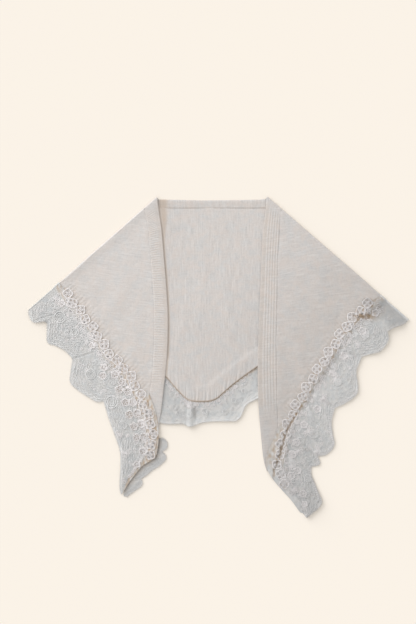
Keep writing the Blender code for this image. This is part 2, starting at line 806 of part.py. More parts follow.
def cut_gaps(piece, lines, with_flowers=True):
    """Cut the openwork through a lace wall."""
    bm = bmesh.new()
    for line, ground_side in lines:
        flower_gaps(bm, line, ground_side, with_flowers)
    mesh = bpy.data.meshes.new(piece.name + "_gaps")
    bm.to_mesh(mesh)
    bm.free()
    cutter = bpy.data.objects.new(piece.name + "_gaps", mesh)
    cutter.hide_render = True
    cutter.display_type = "WIRE"
    cutters.objects.link(cutter)
    cut = piece.modifiers.new("openwork", "BOOLEAN")
    cut.operation = "DIFFERENCE"
    cut.solver = "EXACT"
    cut.object = cutter


def flower_line(front, first, last):
    """The line that the flowers follow, near the knit's hem."""
    line, row = [], first
    while row <= last:
        entries = front.lace_row(row)
        inner, hem = entries[0][0], entries[1][0]
        line.append(hem.lerp(inner, 0.25))
        row += 0.25
    return line


def back_leaf_line():
    """The leaves that show along the back's hem."""
    first, last = BACK_SHOWS
    steps = 4 * (last - first)
    return [back_hem(first + (last - first) * i / steps) for i in range(steps + 1)]


def material(name, colour, roughness):
    made = bpy.data.materials.new(name)
    made.use_nodes = True
    shader = made.node_tree.nodes["Principled BSDF"]
    shader.inputs["Base Color"].default_value = (*colour, 1.0)
    shader.inputs["Roughness"].default_value = roughness
    shader.inputs["Metallic"].default_value = 0.0
    made.diffuse_color = (*colour, 1.0)
    return made


for old in list(bpy.data.objects):
    bpy.data.objects.remove(old, do_unlink=True)

scarf = bpy.data.collections.new(SCARF_NAME)
cutters = bpy.data.collections.new("cutters")
bpy.context.scene.collection.children.link(scarf)
bpy.context.scene.collection.children.link(cutters)

knit = material("ivory_knit", (0.66, 0.62, 0.58), 0.95)
band = material("ivory_rib", (0.68, 0.64, 0.60), 0.95)
lace = material("white_lace", (0.60, 0.61, 0.61), 0.85)

back_knit(knit)
front_knit(LEFT, knit)
front_knit(RIGHT, knit)
neck_band(band)
cross_ribbed_band(LEFT, band)
length_ribbed_band(RIGHT, band)
cut_gaps(back_lace(lace), [(back_leaf_line(), -1)], with_flowers=False)
cut_gaps(front_lace(LEFT, lace), [(flower_line(LEFT, 1.5, 25.5), -1)])
cut_gaps(front_lace(RIGHT, lace), [(flower_line(RIGHT, 1.5, 25.0), 1)])
turned_under_lace(lace)
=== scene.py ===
# %% [markdown]
# # A knit triangle scarf with a scalloped lace border
#
# The scarf lies flat on a pale table, its two ends folded forward over the back.
# This file dresses the solid model of it. The solids give each stretch of cloth
# its place, so everything here is worked out in the same coordinates, in metres,
# and each shell follows the top of the solid that it stands for.
#
# We go from the tables that describe the cut, to the cloth shells, to the yarns
# and cords that lie on them, and end with the finishes, the light and the camera.

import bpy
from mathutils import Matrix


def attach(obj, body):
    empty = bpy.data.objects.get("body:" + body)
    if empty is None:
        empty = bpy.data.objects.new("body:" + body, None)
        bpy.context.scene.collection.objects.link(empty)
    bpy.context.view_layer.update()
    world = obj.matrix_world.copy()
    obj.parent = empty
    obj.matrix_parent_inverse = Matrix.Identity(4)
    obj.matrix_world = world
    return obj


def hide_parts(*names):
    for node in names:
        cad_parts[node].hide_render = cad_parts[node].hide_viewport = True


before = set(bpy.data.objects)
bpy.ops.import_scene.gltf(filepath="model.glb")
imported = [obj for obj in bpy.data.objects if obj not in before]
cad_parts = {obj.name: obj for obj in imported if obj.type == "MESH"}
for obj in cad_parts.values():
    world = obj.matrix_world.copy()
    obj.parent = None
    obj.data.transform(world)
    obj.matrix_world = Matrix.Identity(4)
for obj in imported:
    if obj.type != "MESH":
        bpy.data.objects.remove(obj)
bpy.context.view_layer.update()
print("solids:", sorted(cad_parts))

# %% Tools
import math
import random

import bmesh
import bpy
import numpy as np
from mathutils import Vector
from mathutils.bvhtree import BVHTree

MM = 0.001
print("metres in a millimetre:", MM)

# %% [markdown]
# ## The cut, as tables
#
# A scarf like this is one wide triangle. Laid down and folded, its seams and hems
# become a few soft curves, so short tables are enough: each row is one point of a
# curve, and a smoothing function fills in between. Tables in millimetres, seen
# from above, are easy to compare with a ruler on the real thing. Drawing the
# curves by hand in the viewport would work too, but then the solid and the shell
# would drift apart.

# %% Sizes in millimetres
BOX_MIDDLE = (2.15, 2.63)
KNIT_THICK = 1.6
LACE_THICK = 1.2
# The wall of a knit shell, a little thinner than the cloth that it stands for
SHELL_WALL = 1.2
SEAM_GAP = 0.3
LACE_SEAT = 0.35
LACE_LAP = 26.0
BACK_KNIT_RAISE = 1.5
FRONT_LIFT = 3.5
# From where to where a cloth comes down from what lies under it
FRONT_SETTLES = (0.0, 90.0)
EDGE_SETTLES = (-15.0, 35.0)
BACK_KNIT_SETTLES = (32.0, 46.0)
FOLD_SHIFT = 3.5
FOLD_LOFT = 2.0
FOLD_LOFT_WIDTH = 18.0
FOLD_LEG = 6.0
TURNED_UNDER_LIFT = 1.5
TURNED_UNDER_BELOW = (-105.0, -180.0)
CREASE_FADES = (0.5, 3.0)
NECK_SEAM = 374.0
print("thickness of knit and lace, and seam gap:", KNIT_THICK, LACE_THICK, SEAM_GAP)

# %% Curves of the two fronts
# Seam between knit and band: y, x
LEFT_SEAM = [
    (376, -184), (330, -176), (270, -170), (195, -164), (125, -160), (70, -160),
    (15, -161), (-42, -165), (-85, -171), (-122, -178),
]
RIGHT_SEAM = [
    (374, 158), (320, 154), (245, 150), (145, 148), (20, 146), (-105, 148),
    (-180, 150), (-250, 151),
]
LEFT_BAND_TIP = (-183, -152)
RIGHT_BAND_TIP = (-280, 125)
# Front edge of the band: station along it, x, y, and the seam's y beside it
LEFT_FRONT = [
    (0.00, -152, 404, 376), (0.06, -147, 364, 345), (0.14, -141, 325, 315),
    (0.26, -135, 255, 250), (0.38, -129, 182, 182), (0.50, -125, 115, 116),
    (0.60, -125, 55, 57), (0.70, -128, -5, -4), (0.80, -134, -66, -65),
    (0.90, -141, -128, -122), (0.96, -146, -158, -150), (1.00, -149, -184, -183),
]
RIGHT_FRONT = [
    (0.00, 122, 405, 374), (0.06, 118, 365, 348), (0.14, 112, 315, 306),
    (0.26, 108, 225, 222), (0.38, 104, 130, 130), (0.50, 100, 35, 35),
    (0.62, 99, -40, -40), (0.74, 101, -115, -115), (0.84, 106, -180, -180),
    (0.92, 112, -240, -240), (0.96, 116, -264, -258), (1.00, 122, -282, -280),
]
# Cloth rows, parallel to the fold: row, seam y, hem x, hem y
LEFT_ROWS = [
    (0, 376, -402, 185), (2, 335, -385, 160), (4, 295, -368, 136),
    (6, 260, -342, 105), (8, 202, -315, 68), (10, 142, -290, 28),
    (12, 92, -265, -4), (14, 42, -240, -28), (16, -10, -218, -59),
    (18, -68, -200, -95), (20, -119, -187, -128),
]
RIGHT_ROWS = [
    (0, 374, 412, 154), (3, 310, 368, 122), (5, 255, 338, 92), (7, 205, 315, 62),
    (9, 150, 292, 25), (11, 92, 268, -12), (13, 31, 242, -52), (15, -32, 218, -94),
    (17, -92, 195, -132), (19, -155, 176, -178), (20, -190, 170, -202),
    (21, -218, 165, -226), (22, -244, 161, -247),
]
# Lace past the knit: row, flower edge x, y, middle x, y
LEFT_TAIL = [
    (16, -198, -41, -218, -59), (18, -178, -78, -200, -95), (20, -162, -115, -186, -130),
    (21, -155, -138, -178, -150), (22, -150, -165, -171, -172), (23, -148, -190, -169, -198),
    (24, -150, -220, -171, -225), (25, -156, -246, -180, -248), (26, -170, -258, -191, -262),
    (27, -188, -269, -204, -278), (28, -208, -292, -218, -298), (29, -225, -315, -229, -318),
    (30, -234, -331, -236, -334),
]
RIGHT_TAIL = [
    (17, 177, -121, 195, -132), (18, 169, -140, 185, -155), (19, 158, -162, 176, -178),
    (20, 145, -190, 170, -202), (21, 130, -220, 165, -228), (22, 120, -248, 161, -252),
    (23, 123, -278, 160, -278), (24, 138, -304, 168, -303), (25, 160, -330, 185, -330),
    (26, 185, -358, 201, -358), (27, 205, -386, 212, -388),
]
print("cloth rows given, left and right:", len(LEFT_ROWS), len(RIGHT_ROWS))

# %% Scalloped edges, a point for each row: x, y
LEFT_EDGE = [
    (-471, 125), (-472, 110), (-462, 91), (-442, 92), (-425, 95), (-426, 68),
    (-425, 40), (-405, 32), (-385, 22), (-372, 10), (-362, -2), (-366, -30),
    (-368, -60), (-348, -80), (-325, -95), (-302, -108), (-285, -105), (-278, -130),
    (-270, -155), (-260, -182), (-250, -210), (-245, -226), (-242, -242), (-242, -260),
    (-242, -278), (-243, -292), (-244, -305), (-244, -315), (-244, -324), (-243, -332),
    (-240, -340),
]
RIGHT_EDGE = [
    (475, 94), (460, 85), (440, 78), (421, 68), (424, 45), (405, 19), (382, 12),
    (358, 5), (344, -32), (348, -65), (345, -90), (320, -110), (290, -124), (282, -158),
    (285, -190), (289, -218), (270, -240), (246, -243), (253, -264), (232, -270),
    (231, -290), (238, -308), (245, -325), (252, -342), (258, -360), (248, -375),
    (232, -388), (220, -398),
]
LEFT_NOTCHES = (4, 10, 16)
RIGHT_NOTCHES = (3, 7, 12, 17, 19)
print("notches, left and right:", len(LEFT_NOTCHES), len(RIGHT_NOTCHES))

# %% Creases: x, y, half length, half width, turn in degrees, height
LEFT_CREASES = [
    (-345, 210, 55, 16, 40, -1.0), (-250, 150, 60, 22, 62, 1.2), (-215, 20, 70, 18, 80, 1.0),
    (-235, 255, 50, 16, 15, 0.9),
]
RIGHT_CREASES = [
    (330, 165, 60, 15, 118, 1.2), (262, 125, 70, 20, 108, 0.9), (205, -10, 80, 16, 100, 1.1),
    (235, 240, 55, 18, 150, 1.0),
]
BACK_CREASES = [
    (-40, 180, 120, 16, 86, 0.8), (25, 120, 110, 14, 95, 0.7), (-95, 60, 80, 14, 75, 0.7),
]
print("creases:", len(LEFT_CREASES + RIGHT_CREASES + BACK_CREASES))

# %% Back: station, hem x, hem y, lace edge x, lace edge y
BACK_HEM = [
    (1, -365, 148, -432, 90), (2, -332, 122, -395, 60), (3, -300, 96, -350, 20),
    (4, -265, 68, -302, -25), (5, -230, 38, -258, -68), (6, -195, 8, -212, -110),
    (7, -162, -20, -178, -140), (8, -130, -47, -152, -158), (9, -110, -70, -130, -163),
    (10, -92, -90, -105, -163), (11, -80, -101, -86, -163), (12, -70, -107, -74, -170),
    (13, -62, -108, -62, -168), (14, -45, -109, -45, -161), (15, -22, -108, -18, -157),
    (16, -5, -102, 15, -156), (17, 10, -90, 45, -156), (18, 30, -72, 56, -145),
    (19, 50, -56, 70, -116), (20, 75, -38, 98, -100), (21, 110, -14, 142, -78),
    (22, 155, 11, 198, -48), (23, 205, 38, 250, -15), (24, 255, 66, 305, 16),
    (25, 318, 100, 370, 54), (26, 368, 128, 425, 72),
]
BACK_LAST = 27
BACK_TOP = [(0.1, -132, 396), (0.3, -82, 395), (0.45, -32, 394), (0.7, 42, 395), (0.9, 100, 396)]
# End turned under at the left tip: y, left x, right x
TURNED_UNDER = [
    (-200, -236, -141), (-208, -237, -130), (-218, -237, -128), (-226, -237, -130),
    (-234, -236, -142), (-241, -236, -134), (-251, -236, -131), (-260, -236, -138),
    (-270, -236, -150), (-280, -236, -166), (-292, -236, -180), (-302, -236, -194),
    (-310, -236, -190), (-320, -236, -194), (-330, -236, -208), (-340, -236, -222),
    (-346, -235, -229),
]
print("stations along the hem of the back:", len(BACK_HEM))

# %% [markdown]
# ## Reading a curve from a table
#
# Cloth has no corners along a seam, so values between two rows are blended with a
# cubic that keeps the slope even. A scalloped edge is different: it is smooth
# along each scallop and has a sharp notch between two of them, so its slope is
# taken from one side only at a notch.

# %% Smooth and scalloped curves
def smooth(table, corners=()):
    """A curve through table rows: the first number of a row is its key."""
    rows = sorted(table)
    keys = [row[0] for row in rows]
    values = [np.array(row[1:], float) for row in rows]
    last = len(rows) - 1

    def slope(i, side):
        before, after = max(i - 1, 0), min(i + 1, last)
        if keys[i] in corners:
            before, after = (i, after) if side > 0 else (before, i)
        return (values[after] - values[before]) / (keys[after] - keys[before])

    def at(key):
        key = min(max(key, keys[0]), keys[-1])
        i = min(int(np.searchsorted(keys, key, side="right")) - 1, last - 1)
        span = keys[i + 1] - keys[i]
        t = (key - keys[i]) / span
        out = (
            values[i] * (1 + 2 * t) * (1 - t) ** 2 + slope(i, 1) * span * t * (1 - t) ** 2
            + values[i + 1] * t * t * (3 - 2 * t) + slope(i + 1, -1) * span * t * t * (t - 1)
        )
        return float(out[0]) if len(out) == 1 else Vector(out.tolist())

    return at


def scalloped(points, notches):
    """A smooth curve with a sharp corner at each notch."""
    return smooth([(i, *point) for i, point in enumerate(points)], notches)


def ramp(value, start, end):
    """0 before start, 1 past end, and a soft rise between them."""
    t = min(max((value - start) / (end - start), 0.0), 1.0)
    return t * t * (3 - 2 * t)


print("halfway up a smooth step:", smooth([(0, 0.0), (1, 1.0)])(0.5))

# %% Creases and distances
def sideways(way):
    """A quarter turn to the left, seen from above."""
    return Vector((-way.y, way.x))


def pointing(angle):
    return Vector((math.cos(angle), math.sin(angle)))


def line_length(line):
    return sum((b - a).length for a, b in zip(line, line[1:]))


def crease_height(creases, x, y):
    """Height of all soft creases at a plan point."""
    total = 0.0
    for cx, cy, half_length, half_width, turn, height in creases:
        c, s = math.cos(math.radians(turn)), math.sin(math.radians(turn))
        along = ((x - cx) * c + (y - cy) * s) / half_length
        across = (-(x - cx) * s + (y - cy) * c) / half_width
        total += height * math.exp(-along * along - across * across)
    return total


def distance_to(line, point):
    """Shortest way from a point to a line of points."""
    best = math.inf
    for a, b in zip(line, line[1:]):
        step = b - a
        t = min(max((point - a).dot(step) / step.length_squared, 0.0), 1.0)
        best = min(best, (point - a - step * t).length)
    return best


BACK_LOWER = [Vector((-472, 123))] + [Vector(row[3:]) for row in BACK_HEM] + [Vector((477, 94))]


def past_back(x, y):
    """How far a point lies past the lower edge of the back."""
    for a, b in zip(BACK_LOWER, BACK_LOWER[1:]):
        if x <= b.x or b is BACK_LOWER[-1]:
            share = min(max((x - a.x) / (b.x - a.x), 0.0), 1.0)
            return (a.lerp(b, share).y - y) * 0.8


print("lower edge of the back:", round(line_length(BACK_LOWER)), "mm")

# %% [markdown]
# ## The fronts as functions
#
# Each front is the end of the scarf, folded over on a straight diagonal. Its rows
# of cloth run from the band's seam to the hem, side by side from the fold to the
# tip, and the lace goes on from the hem to its scalloped edge. One small class
# serves both fronts, because only their tables differ.

# %% One front
class Front:
    def __init__(self, name, shoulder, seam, band_tip, front, rows, tail, edge, notches,
                 creases, lace_way, rib_end, tip_end, knit_end, lace_end):
        self.lace_way = smooth(lace_way)
        self.name, self.creases, self.band_tip = name, creases, band_tip
        self.rib_end, self.tip_end = rib_end, tip_end
        self.knit_end, self.lace_end = knit_end, lace_end
        self.seam_end = seam[-1][0]
        self.seam_x, self.rows = smooth(seam), smooth(rows)
        self.front, self.tail = smooth(front), smooth(tail)
        self.tail_starts = tail[0][0]
        self.edge = scalloped(edge, notches)
        self.shoulder = Vector(shoulder)
        self.corner = Vector(rows[0][2:])
        self.along = (self.corner - self.shoulder).normalized()
        self.inward = sideways(self.along)
        if self.inward.y > 0:
            self.inward.negate()

    def from_fold(self, point):
        return max((point - self.shoulder).dot(self.inward), 0.0)

    def fold_row(self, first, following):
        row = []
        for start, towards in zip(first, following):
            before = (start - self.shoulder).dot(self.inward)
            after = (towards - self.shoulder).dot(self.inward)
            row.append(start.lerp(towards, (FOLD_SHIFT - before) / (after - before)))
        return row

    def band_inside(self, y):
        if y >= self.seam_end:
            return self.seam_x(y)
        tip_y, tip_x = self.band_tip
        start = self.seam_x(self.seam_end)
        return start + (tip_x - start) * (self.seam_end - y) / (self.seam_end - tip_y)

    def turned_under(self, point):
        if self.name != "left":
            return 0.0
        return TURNED_UNDER_LIFT * ramp(point.y, *TURNED_UNDER_BELOW)

    def base(self, point):
        x, y = point
        lift = FRONT_LIFT * (1 - ramp(past_back(x, y), *FRONT_SETTLES))
        lift = max(lift, self.turned_under(point))
        loft = FOLD_LOFT * math.exp(-((self.from_fold(point) / FOLD_LOFT_WIDTH) ** 2))
        return lift + loft + crease_height(self.creases, x, y) * ramp(lift, *CREASE_FADES)

    def edge_base(self, point):
        x, y = point
        lift = FRONT_LIFT * (1 - ramp(past_back(x, y), *EDGE_SETTLES))
        loft = FOLD_LOFT * math.exp(-((self.from_fold(point) / FOLD_LOFT_WIDTH) ** 2))
        return max(lift, self.turned_under(point)) + loft * 0.5

    def lace_shade(self, row):
        return self.lace_way(row)[0]

    def edge_curl(self, row):
        return self.lace_way(row)[1]

    def hem(self, row):
        return Vector(self.rows(row)[1:])

    def seam(self, row):
        y = self.rows(row)[0]
        return Vector((self.seam_x(y), y))

    def knit_row(self, row, columns):
        hem, seam = self.hem(row), self.seam(row)
        toward = (seam - hem).normalized()
        length = (seam - hem).length - SEAM_GAP
        return [hem + toward * (length * (1 - i / columns)) for i in range(columns + 1)]

    def lace_lines(self, row):
        """Flower edge, hem and scallop edge of one lace row."""
        if row <= self.tail_starts:
            hem = self.hem(row)
            inner = hem + (self.seam(row) - hem).normalized() * LACE_LAP
        else:
            values = self.tail(row)
            inner, hem = Vector(values[:2]), Vector(values[2:])
        return inner, hem, self.edge(row)

    def lace_under(self, point, over, settled):
        on_knit = self.base(point) + over * (KNIT_THICK + LACE_SEAT)
        low = self.edge_base(point)
        if settled > 1.0:
            low = max(0.0, low - self.turned_under(point) * (settled - 1.0))
            settled = 1.0
        return on_knit * (1 - settled) + low * settled


print("a front knows:", *[name for name in vars(Front) if not name.startswith("_")])

# %% The two fronts
# Painted shade and curl of the lace along a border: row, painted shade (less than none for painted
# light), curl of its edge in mm
LEFT_LACE_WAY = [
    (0, 0.02, 1.0), (2, 0.0, 0.6), (5, -0.04, 0.0), (12, -0.05, 0.0), (20, 0.03, 0.2),
    (25, 0.08, 0.6), (30, 0.14, 0.4),
]
RIGHT_LACE_WAY = [
    (0, 0.28, 4.0), (1.6, 0.30, 4.2), (3.2, 0.07, 3.8), (6, 0.01, 3.0), (9, 0.0, 2.5),
    (14, 0.01, 1.0), (17, 0.06, 0.3), (19, 0.12, 0.6), (23, 0.14, 2.5), (25, 0.22, 4.5),
    (27, 0.26, 5.0),
]

LEFT = Front(
    "left", (-152, 404), LEFT_SEAM, LEFT_BAND_TIP, LEFT_FRONT, LEFT_ROWS, LEFT_TAIL, LEFT_EDGE,
    LEFT_NOTCHES, LEFT_CREASES, LEFT_LACE_WAY, rib_end=-92, tip_end=24.0, knit_end=20,
    lace_end=30,
)
RIGHT = Front(
    "right", (122, 405), RIGHT_SEAM, RIGHT_BAND_TIP, RIGHT_FRONT, RIGHT_ROWS, RIGHT_TAIL,
    RIGHT_EDGE, RIGHT_NOTCHES, RIGHT_CREASES, RIGHT_LACE_WAY, rib_end=-140, tip_end=23.5,
    knit_end=22, lace_end=27,
)
print("fold lengths in mm:", *(round((f.corner - f.shoulder).length) for f in (LEFT, RIGHT)))

# %% [markdown]
# ## Cloth shells
#
# A shell is a grid of points joined with quads. Each point also carries two kinds
# of notes that the finishes read later: `grain`, its place on the cloth before it
# was folded, in millimetres, so that the stitches turn with the cloth, and
# `marks`: how much painted tan shadow lies there, with a faint warm tint near the
# lace, how much painted light, where less than no pale means painted shade, and how
# dense the yarn is. Painting light and shade into notes on the mesh keeps them in
# place from every side, which light tricks do not.

# %% A grid of points becomes a shell
def waves(seed, count, shortest, longest):
    """Soft unevenness: a sum of plain waves, about -1 to 1."""
    draw = random.Random(seed)
    table = []
    for _ in range(count):
        turn, length = draw.uniform(0, 2 * math.pi), draw.uniform(shortest, longest)
        table.append((math.cos(turn) / length, math.sin(turn) / length, draw.uniform(0, 1)))
    tall = math.sqrt(count)

    def at(x, y):
        return sum(math.sin(2 * math.pi * (kx * x + ky * y + p)) for kx, ky, p in table) / tall

    return at


def to_world(points):
    points = np.array(points, float)
    points[..., 0] -= BOX_MIDDLE[0]
    points[..., 1] -= BOX_MIDDLE[1]
    return points * MM


def quads_of(rows, columns, keep=None):
    corner = np.arange(rows * columns).reshape(rows, columns)
    quads = np.stack(
        [corner[:-1, :-1], corner[1:, :-1], corner[1:, 1:], corner[:-1, 1:]], axis=-1
    ).reshape(-1, 4)
    return quads if keep is None else quads[keep.reshape(-1)]


def show(name, mesh, finish, grain, marks):
    """Write both notes on a mesh and put it in the scene as a named piece."""
    for label, values in (("grain", grain), ("marks", marks)):
        note = mesh.attributes.new(label, "FLOAT_VECTOR", "POINT")
        note.data.foreach_set("vector", np.array(values, np.float32).reshape(-1))
    mesh.shade_smooth()
    mesh.materials.append(finish)
    piece = bpy.data.objects.new(name, mesh)
    bpy.context.scene.collection.objects.link(piece)
    return piece


def shell(name, points, finish, grain, marks, keep=None, thick=0.0):
    """A named cloth shell from a grid of points in millimetres."""
    points = np.array(points, float)
    points[..., 2] = np.maximum(points[..., 2], thick)
    rows, columns = points.shape[:2]
    mesh = bpy.data.meshes.new(name)
    quads = quads_of(rows, columns, keep)
    a, b, c = (points.reshape(-1, 3)[quads[:, i]] for i in (0, 1, 2))
    if np.sum(np.cross(b - a, c - a)[:, 2]) < 0:
        quads = quads[:, ::-1]
    mesh.from_pydata(to_world(points).reshape(-1, 3).tolist(), [], quads.tolist())
    piece = show(name, mesh, finish, grain, marks)
    if keep is not None:
        clear_loose(mesh)
    if thick:
        wall = piece.modifiers.new("thickness", "SOLIDIFY")
        wall.thickness, wall.offset = thick * MM, -1.0
    print(name, len(mesh.polygons), "quads")
    return piece


def clear_loose(mesh):
    """Delete the grid points that no quad uses."""
    bm = bmesh.new()
    bm.from_mesh(mesh)
    bmesh.ops.delete(bm, geom=[v for v in bm.verts if not v.link_faces], context="VERTS")
    bm.to_mesh(mesh)
    bm.free()


print("quads in a grid of 3 by 4 points:", len(quads_of(3, 4)))

# %% [markdown]
# ## Finishes
#
# The yarn is ivory, matt and a little fuzzy. Under the lens a knit is rows of
# small V shapes, so its bump is a wave across the wales, with the courses shifted
# where each V slants. The lace is a fine net: cells parted by threads, with open
# holes. Both could be painted by hand, but worked out from the grain they stay
# sharp at any size.

# %% A small helper for shader nodes
SPECULAR = 0.25
SHEEN_ROUGHNESS = 0.6


class Finish:
    """A material with short ways to add nodes. Each method gives back a socket."""

    def __init__(self, name, roughness, sheen):
        self.material = bpy.data.materials.new(name)
        self.material.use_nodes = True
        self.tree = self.material.node_tree
        self.shader = self.tree.nodes["Principled BSDF"]
        self.shader.inputs["Roughness"].default_value = roughness
        self.shader.inputs["Specular IOR Level"].default_value = SPECULAR
        self.shader.inputs["Sheen Weight"].default_value = sheen
        self.shader.inputs["Sheen Roughness"].default_value = SHEEN_ROUGHNESS

    def add(self, kind, inputs, **settings):
        node = self.tree.nodes.new(kind)
        for key, value in settings.items():
            setattr(node, key, value)
        for key, value in inputs.items():
            if isinstance(value, bpy.types.NodeSocket):
                self.tree.links.new(value, node.inputs[key])
            else:
                node.inputs[key].default_value = value
        return node

    def math(self, operation, *values):
        return self.add("ShaderNodeMath", dict(enumerate(values)), operation=operation).outputs[0]

    def note(self, label):
        node = self.add("ShaderNodeAttribute", {}, attribute_name=label)
        parts = self.add("ShaderNodeSeparateXYZ", {0: node.outputs["Vector"]})
        return node.outputs["Vector"], parts.outputs

    def cloudy(self, vector, scale, detail=2.0):
        return self.add(
            "ShaderNodeTexNoise", {"Vector": vector, "Scale": scale, "Detail": detail}
        ).outputs["Fac"]

    def streaks(self, across, up, across_scale, up_scale):
        """Noise that is drawn out along the wales or the courses."""
        place = self.add(
            "ShaderNodeCombineXYZ",
            {0: self.math("MULTIPLY", across, across_scale), 1: self.math("MULTIPLY", up, up_scale)},
        )
        return self.cloudy(place.outputs[0], 1.0, 2.0)

    def mix(self, share, first, second):
        return self.add(
            "ShaderNodeMix", {0: share, 6: first, 7: second}, data_type="RGBA"
        ).outputs[2]

    def spread(self, value, low, high, to_low=0.0, to_high=1.0):
        return self.add(
            "ShaderNodeMapRange",
            {"Value": value, 1: low, 2: high, 3: to_low, 4: to_high},
        ).outputs[0]

    def relief(self, height, depth_mm, strength=1.0):
        bump = self.add(
            "ShaderNodeBump", {"Height": height, "Distance": depth_mm * MM, "Strength": strength}
        )
        self.tree.links.new(bump.outputs[0], self.shader.inputs["Normal"])

    def colour(self, socket):
        self.tree.links.new(socket, self.shader.inputs["Base Color"])


print("a finish can do:", *[name for name in vars(Finish) if not name.startswith("_")])

# %% Colours, and painted light and shade
IVORY = (0.643, 0.597, 0.567, 1.0)
IVORY_WARM = (0.663, 0.594, 0.551, 1.0)
IVORY_COOL = (0.606, 0.590, 0.579, 1.0)
# Tan is the colour of painted warm shadow in seams, gaps and hollows, and of a faint warm tint near the
# lace
TAN = (0.50, 0.36, 0.235, 1.0)
# Pale is the colour of painted light, and of the knit's pale flecks
PALE = (0.82, 0.785, 0.765, 1.0)
NET = (0.775, 0.765, 0.75, 1.0)
NET_COOL = (0.69, 0.705, 0.71, 1.0)
# Shade is the colour of painted shade, and also darkens the knit's streaks
SHADE = (0.17, 0.16, 0.155, 1.0)
PAINTED_FALLOFF_MIDDLE = (-10.0, 195.0)
PAINTED_FALLOFF_PER_MM = (-0.00044, 0.00036)
# Softly deeper patches of painted shade, the first three in a trough along the left fold: x, y, reach
# across, reach up, amount
PAINTED_SHADE_PATCHES = [
    (-372, 176, 24, 18, 0.06), (-338, 208, 26, 18, 0.07), (-298, 240, 28, 18, 0.06),
    (-240, 290, 34, 22, 0.03), (250, 120, 30, 70, 0.02),
    (300, 200, 40, 30, 0.03), (130, -70, 60, 120, 0.012), (60, -40, 30, 26, 0.03),
    (-60, 60, 50, 40, 0.02),
]


def painted_light_and_shade(x, y):
    """Painted light and shade: paler toward the upper left, darker toward the lower right where less
    light falls, and softly darker patches of painted shade.
    """
    level = PAINTED_FALLOFF_PER_MM[0] * (x - PAINTED_FALLOFF_MIDDLE[0]) + PAINTED_FALLOFF_PER_MM[1] * (y - PAINTED_FALLOFF_MIDDLE[1])
    for px, py, across, up, amount in PAINTED_SHADE_PATCHES:
        level -= amount * math.exp(-(((x - px) / across) ** 2) - ((y - py) / up) ** 2)
    return level


print("tone at the left and right corner:", round(painted_light_and_shade(-400, 150), 3), round(painted_light_and_shade(400, 150), 3))

# %% Knit yarn
def knit_finish(name, wale, course):
    """Stocking stitch: wale is the width of a column of Vs, course their height."""
    made = Finish(name, 0.95, 0.25)
    grain, (across, up, _) = made.note("grain")
    _, (tan, pale, _) = made.note("marks")
    dim = made.spread(pale, -1.0, 0.0, 1.0, 0.0)
    # Height: the Vs, the wales that they stand on, fuzz, and slow lumps
    column = made.math("FRACT", made.math("DIVIDE", across, wale))
    slant = made.math("ABSOLUTE", made.math("SUBTRACT", made.math("MULTIPLY", column, 2.0), 1.0))
    turn = made.math("ADD", made.math("DIVIDE", up, course), made.math("MULTIPLY", slant, 0.5))
    loops = made.math("SINE", made.math("MULTIPLY", turn, 2 * math.pi))
    ridges = made.math("SINE", made.math("MULTIPLY", column, math.pi))
    fuzz = made.cloudy(grain, 1.6, 4.0)
    lumps = made.cloudy(grain, 0.22, 3.0)
    height = made.math("ADD", made.math("MULTIPLY", loops, 0.22), made.math("MULTIPLY", ridges, 0.5))
    height = made.math("ADD", height, made.math("MULTIPLY", fuzz, 0.9))
    height = made.math("ADD", height, made.math("MULTIPLY", lumps, 1.1))
    made.relief(height, 0.55, 0.75)
    # Colour: cool and warm clouds, streaks along wales and courses, pale flecks of
    # fuzz, and last the painted light, painted tan shadow and painted shade that the
    # notes on the mesh ask for
    cool = made.spread(made.cloudy(grain, 0.035, 3.0), 0.42, 0.62)
    warm = made.spread(made.cloudy(grain, 0.05, 2.0), 0.50, 0.68)
    wales = made.streaks(across, up, 0.30, 0.03)
    courses = made.streaks(across, up, 0.03, 0.26)
    colour = made.mix(cool, IVORY, IVORY_COOL)
    colour = made.mix(made.spread(wales, 0.50, 0.72, 0.0, 0.13), colour, SHADE)
    colour = made.mix(made.spread(courses, 0.50, 0.72, 0.0, 0.07), colour, SHADE)
    colour = made.mix(made.spread(wales, 0.30, 0.48, 0.35, 0.0), colour, PALE)
    colour = made.mix(made.math("MULTIPLY", warm, 0.7), colour, IVORY_WARM)
    flecks = made.spread(made.math("ADD", fuzz, made.math("MULTIPLY", lumps, 0.8)), 0.7, 1.1, 0.0, 0.35)
    colour = made.mix(flecks, colour, PALE)
    colour = made.mix(pale, colour, PALE)
    colour = made.mix(tan, colour, TAN)
    colour = made.mix(dim, colour, SHADE)
    made.colour(colour)
    made.material.diffuse_color = IVORY
    return made.material


fine_knit = knit_finish("fine_ivory_knit", 2.4, 1.9)
rib_knit = knit_finish("ribbed_ivory_knit", 2.0, 1.6)
print("knit finishes:", fine_knit.name, rib_knit.name)

# %% [markdown]
# ### Net and thread
#
# Real net is thread and air, far too fine to model. A pattern of cells tells thread
# from opening instead, and the openings are partly clear, so what lies under the
# lace shows through. The embroidery thread is a finish of its own, with a low gloss.

